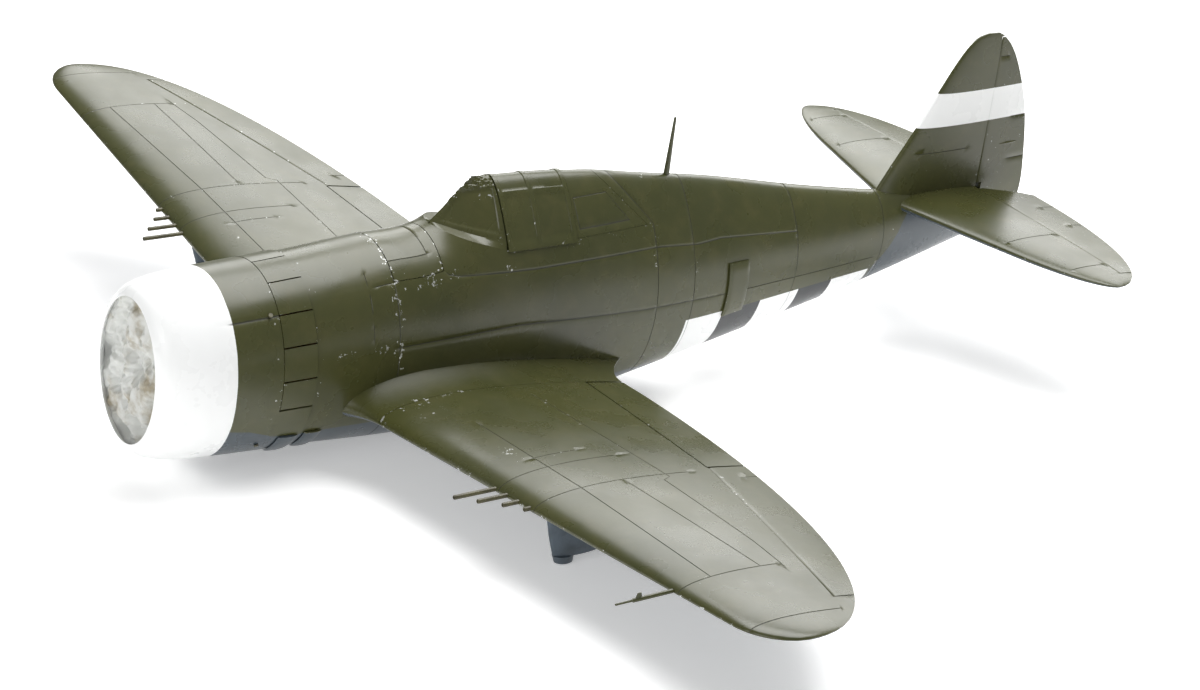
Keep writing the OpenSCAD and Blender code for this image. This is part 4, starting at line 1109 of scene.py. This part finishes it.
def tailplane():
    ribs = (110.0, 170.0)
    chord = np.concatenate([np.linspace(0, 1, 10) ** 2 * 0.2, np.linspace(0.2, 1, 14)[1:]])
    under = np.concatenate([0 * chord, np.ones_like(chord)])
    sections = Sections()
    for x in rows_with(6.0, 204.3, 6.0, ribs, (186.9, 187.1, 199.0, 202.0)):
        front = tail_le(x)
        back = ELEVATOR_Y - 2.0 if x < 187 else tail_te(x)
        y = front + chord * (back - front)
        groove = is_near(x, *ribs) * ((chord > 0.1) & (chord < 1)).astype(float)
        half = tail_half_thickness(x, y) - 0.3 * groove
        wear = np.maximum(0.35 * ramp(y - front, 0, 2), 0.3 * ramp(back - y, 0.3, 2))
        sections.add(np.concatenate([xyz(x, y, TAIL_Z + half), xyz(x, y, TAIL_Z - half)[::-1]]),
                     there_and_back(groove), there_and_back(wear), under)
    surface = Patches()
    for mirror in (False, True):
        surface.loft(*sections.values(), mirror=mirror)
    made = surface.made("tailplane_skin", "airframe", paint_wing, 32.0)
    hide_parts("tailplane")


def elevator(side_name, mirror):
    ribs = (56.0, 95.0)
    inboard = 11.0
    t = np.linspace(0, 1, 12)
    sections = Sections()
    for x in rows_with(inboard, 186.0, 6.0, ribs):
        r = float(tail_half_thickness(x, ELEVATOR_Y))
        nose = xyz(x, ELEVATOR_Y + r * np.cos(NOSE_TURN), TAIL_Z + r * np.sin(NOSE_TURN))
        # The inboard end is swept to clear the rudder
        back = min(float(tail_te(x)), 822 + (x - inboard) * 2.65)
        y = ELEVATOR_Y + t * (back - ELEVATOR_Y)
        groove = is_near(x, *ribs) * (t > 0.55).astype(float)
        half = tail_half_thickness(x, y) - 0.25 * groove
        low = xyz(x, y, TAIL_Z - half)
        top = xyz(x, y, TAIL_Z + half)
        sections.add(np.concatenate([nose, low, top[::-1]]),
                     np.concatenate([0 * NOSE_TURN, groove, groove[::-1]]), 0.25,
                     np.concatenate([NOSE_TURN > np.pi, 1 + 0 * t, 0 * t]))
    surface = Patches()
    surface.loft(*sections.values(), mirror=mirror)
    if mirror:
        centre = np.array([-17, ELEVATOR_Y, TAIL_Z])
        outline = horn_outline(10.0, 1 - float(tail_half_thickness(17, ELEVATOR_Y)))
        plate(surface, centre, np.eye(3), outline, False)
    made = surface.made("elevator_skin_" + side_name, "elevators", paint_wing, 32.0)
    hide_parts("elevator_" + side_name)


# ---- small parts ----
def turned(patches, centre_x, centre_z, profile, mirror):
    """Closed tube or rod along y from a profile of (y, radius), ends joined."""
    turn = np.radians(np.arange(0, 360, 15))
    rings = [xyz(centre_x + r * np.cos(turn), y, centre_z + r * np.sin(turn)) for y, r in profile]
    patches.loft(rings, mirror=mirror)


def guns():
    barrels = Patches()
    for mirror in (False, True):
        for x, tip in zip(GUN_X, GUN_TIP_Y):
            z = wing_plane(x) + 0.6
            profile = [(tip + 13.5, 0.1), (tip + 13.5, 0.98), (tip + 0.3, 1.0), (tip, 1.2), (tip, 1.55),
                       (tip + 0.3, 1.7), (tip + 9, 1.7), (195.8, 1.7), (195.8, 0.1)]
            turned(barrels, x, z, profile, mirror)
    made = barrels.made("gun_tubes", "airframe", gun_paint)
    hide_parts("gun_barrels")


def pitot():
    probe = Patches()
    z = wing_plane(PITOT_X) + 0.5
    end = float(wing_le(PITOT_X)) - 0.4
    profile = [(131, 0.3), (131.3, 0.7), (131.8, 0.8), (144.5, 0.8), (145.6, 1.5), (end - 4, 1.5), (end, 1.5)]
    turned(probe, PITOT_X, z, profile, False)
    turn = np.radians(np.arange(0, 360, 45))
    probe.loft([xyz(PITOT_X + 0.5 * np.cos(turn), 150 + (3 - 1.4 * s) * np.sin(turn), z + 1 + 3.9 * s)
                for s in np.linspace(0, 1, 6)])
    made = probe.made("pitot_probe", "airframe", paint_olive)
    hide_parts("pitot_tube")


def pylons():
    """Streamlined pylons, each with a rounded shoe under its front. Rows: z, fore end, aft end, half width."""
    shoe = ((PYLON_FOOT_Z, 207.5, 221.5, 4.4), (-68.0, 206.5, 221.8, 5.1), (-65, 205.2, 221.9, 5.5),
            (-62, 204, 222, 5.8))
    blade = ((-61.9, 204, 246.4, 5.6), (-61.4, 203.7, 246.6, 5.8), (-55, 201.4, 249.2, 6.2),
             (-45, 198, 252, 6.5), (-30, 194, 256, 6.7), (-20, 190.4, 261, 6.9))
    turn = np.radians(np.arange(0, 360, 12))
    racks = Patches()
    for mirror in (False, True):
        for part in (shoe, blade):
            rings = []
            for z, fore, aft, wide in part:
                x = PYLON_X + wide * np.sin(turn)
                y = (fore + aft) / 2 + (aft - fore) / 2 * np.cos(turn)
                rings.append(xyz(x, y, np.minimum(z, wing_z(x, y, -1) - 0.1)))
            racks.loft(rings, mirror=mirror)
    made = racks.made("stores_pylons", "airframe", grey_paint)
    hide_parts("pylons")


def antenna_mast():
    """Slim blade mast, thicker at its foot."""
    mast = Patches()
    turn = np.radians(np.arange(0, 360, 18))
    rings = []
    for s in (0.0, 0.02, 0.06, 0.2, 0.4, 0.6, 0.8, 0.97, 1.0):
        z = 91.4 + 48.6 * s
        long = 2.6 - 1.5 * s if s < 0.99 else 0.8
        wide = 2.2 - 1.2 * s if s < 0.99 else 0.6
        rings.append(xyz(wide * np.sin(turn), 472 + long * np.cos(turn), z))
    mast.loft(rings, wear=0.3)
    made = mast.made("aerial_mast", "airframe", paint_olive, 50.0)
    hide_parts("antenna_mast")


def masking_tissue():
    """Wad of crumpled paper in the mouth of the cowl: straight creases with flat facets between."""
    angles = np.arange(220) * 360 / 220
    levels = 60
    # The rim touches the inside of the cowl behind its lip
    edge = body(COWL, np.full(len(angles), 6.0), angles, -4.3)
    edge[:, 1] = 0.0
    centre = np.array([0.0, 0.0, -5.0])
    reach = np.maximum(0.012, np.sin(np.pi / 2 * np.arange(levels) / (levels - 1)))
    front = centre + (edge - centre) * reach[:, None, None]
    flat = front.reshape(-1, 3)
    rng = np.random.default_rng(7)
    relief = np.zeros(len(flat))
    for length in (52.0, 41.0, 33.0, 27.0, 21.0, 16.0, 12.0, 9.0, 6.5, 4.5):
        turn = rng.uniform(0, math.pi)
        warp = random_field(flat, length * 1.5, length) * length * 0.55
        across = (flat[:, 0] * math.cos(turn) + flat[:, 2] * math.sin(turn) + warp) / length
        across = across + rng.uniform(0, 1)
        relief += length * CREASE_DEPTH * (4 * np.abs(across - np.floor(across + 0.5)) - 1)
    relief = relief.reshape(front.shape[:2])
    rim = np.linspace(0, 1, levels)[:, None] ** 10
    front[..., 1] = np.clip(6.6 - relief * (1 - 0.7 * rim) - 2.6 * rim, 3.4, 14.5)
    front[..., 0] += random_field(flat, 6.0, 31).reshape(front.shape[:2]) * 0.9 * (1 - rim)
    back = front[::-8].copy()
    back[..., 1] = 16.6
    wad = Patches()
    wad.loft(np.concatenate([front, back]))
    made = wad.made("tissue_wad", "tissue", tissue_paper, 24.0)
    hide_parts("masking_tissue")


fuselage()
battery_hatch()
cowling()
cowl_flaps()
intercooler_doors()
hood()
rear_glazing()
windscreen()
fillets()
for side, flipped in (("left", False), ("right", True)):
    wing(side, flipped)
    aileron(side, flipped)
    flap(side, flipped)
    elevator(side, flipped)
fin()
rudder()
tailplane()
guns()
pitot()
pylons()
antenna_mast()
masking_tissue()

# ---- finishes of the parts carried over from the frame ----
FINISHES = (
    (cockpit_paint, "cockpit_tub pilot_seat"), (black_plastic, "instrument_panel speed_controller receiver"),
    (plywood, "wing_ribs firewall formers"), (carbon, "wing_spars"), (battery_wrap, "flight_battery"),
    (alloy, "motor_mount motor_stator dummy_crankcase dummy_cylinders"), (servo_blue, "servos"),
    (steel, "hinges prop_adapter elevator_joiner elevator_rod rudder_rod aileron_rod_left aileron_rod_right"),
    (steel, "flap_rod_left flap_rod_right"), (gun_paint, "screws"), (motor_black, "motor_bell"),
    (nylon, "elevator_arm rudder_arm aileron_arm_left aileron_arm_right flap_arm_left flap_arm_right"))
for finish, names in FINISHES:
    for node in names.split():
        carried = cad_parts[node]
        carried.data.materials.clear()
        carried.data.materials.append(finish)

# ---- floor, light and camera ----
def floor():
    """The model stands on its belly and left pylon, so the floor leans by that much."""
    lean = math.atan2(THRUST_HEIGHT + PYLON_FOOT_Z, PYLON_X)
    mesh = bpy.data.meshes.new("floor")
    reach = 6.0
    corners = [(-reach, -reach, 0), (reach, -reach, 0), (reach, reach, 0), (-reach, reach, 0)]
    mesh.from_pydata(corners, [], [(0, 1, 2, 3)])
    n = Nodes("floor_paper")
    paper = n.mix(n.smoothly(n.noise(14.0, 3.0), 0.3, 0.7, 0.92, 0.95), (0.0, 0.0, 0.0), (1.0, 1.0, 1.0))
    n.set(Base_Color=paper, Roughness=0.55, Specular_IOR_Level=0.25)
    # The floor glows a little, like a lit table, which keeps the shadows pale
    n.set(Emission_Color=(1.0, 1.0, 1.0, 1.0), Emission_Strength=0.33)
    mesh.materials.append(n.material)
    obj = bpy.data.objects.new("floor", mesh)
    obj.rotation_euler = (0, -lean, 0)
    obj.location = (0, 0, -0.0008)
    bpy.context.scene.collection.objects.link(obj)


def area_light(name, at, towards, size, power):
    data = bpy.data.lights.new(name, "AREA")
    data.shape = "RECTANGLE"
    data.size, data.size_y = size
    data.energy = power
    obj = bpy.data.objects.new(name, data)
    obj.location = at
    obj.rotation_euler = (Vector(towards) - Vector(at)).to_track_quat("-Z", "Y").to_euler()
    bpy.context.scene.collection.objects.link(obj)


floor()
area_light("back_softbox", (-1.6, 1.4, 1.2), (0, 0, 0.1), (2.3, 1.2), 34.0)
area_light("overhead_softbox", (-0.3, 0.4, 1.85), (0.05, 0, 0.1), (1.8, 1.5), 54.0)
area_light("front_softbox", (0.9, -2.1, 1.0), (0.1, -0.1, 0.1), (1.6, 1.0), 15.0)

scene = bpy.context.scene
world = bpy.data.worlds.new("white_tent")
world.use_nodes = True
background = world.node_tree.nodes["Background"]
background.inputs["Color"].default_value = (1.0, 1.0, 1.0, 1.0)
background.inputs["Strength"].default_value = 0.24
scene.world = world
scene.view_settings.view_transform = "Standard"

CAMERA_AT = (1.68816, -1.39998, 1.04996)
CAMERA_YAW = math.radians(50.473)
CAMERA_PITCH = math.radians(-24.822)
CAMERA_ROLL = math.radians(8.877)
ahead = Vector((-math.sin(CAMERA_YAW) * math.cos(CAMERA_PITCH),
                math.cos(CAMERA_YAW) * math.cos(CAMERA_PITCH), math.sin(CAMERA_PITCH)))
level_right = Vector((math.cos(CAMERA_YAW), math.sin(CAMERA_YAW), 0))
level_up = level_right.cross(ahead)
right = level_right * math.cos(CAMERA_ROLL) + level_up * math.sin(CAMERA_ROLL)
up = level_up * math.cos(CAMERA_ROLL) - level_right * math.sin(CAMERA_ROLL)
camera_data = bpy.data.cameras.new("camera")
camera_data.lens = 89.40
camera_data.sensor_width = 36.0
camera = bpy.data.objects.new("camera", camera_data)
camera.matrix_world = Matrix.Translation(CAMERA_AT) @ Matrix((right, up, -ahead)).transposed().to_4x4()
scene.collection.objects.link(camera)
scene.camera = camera
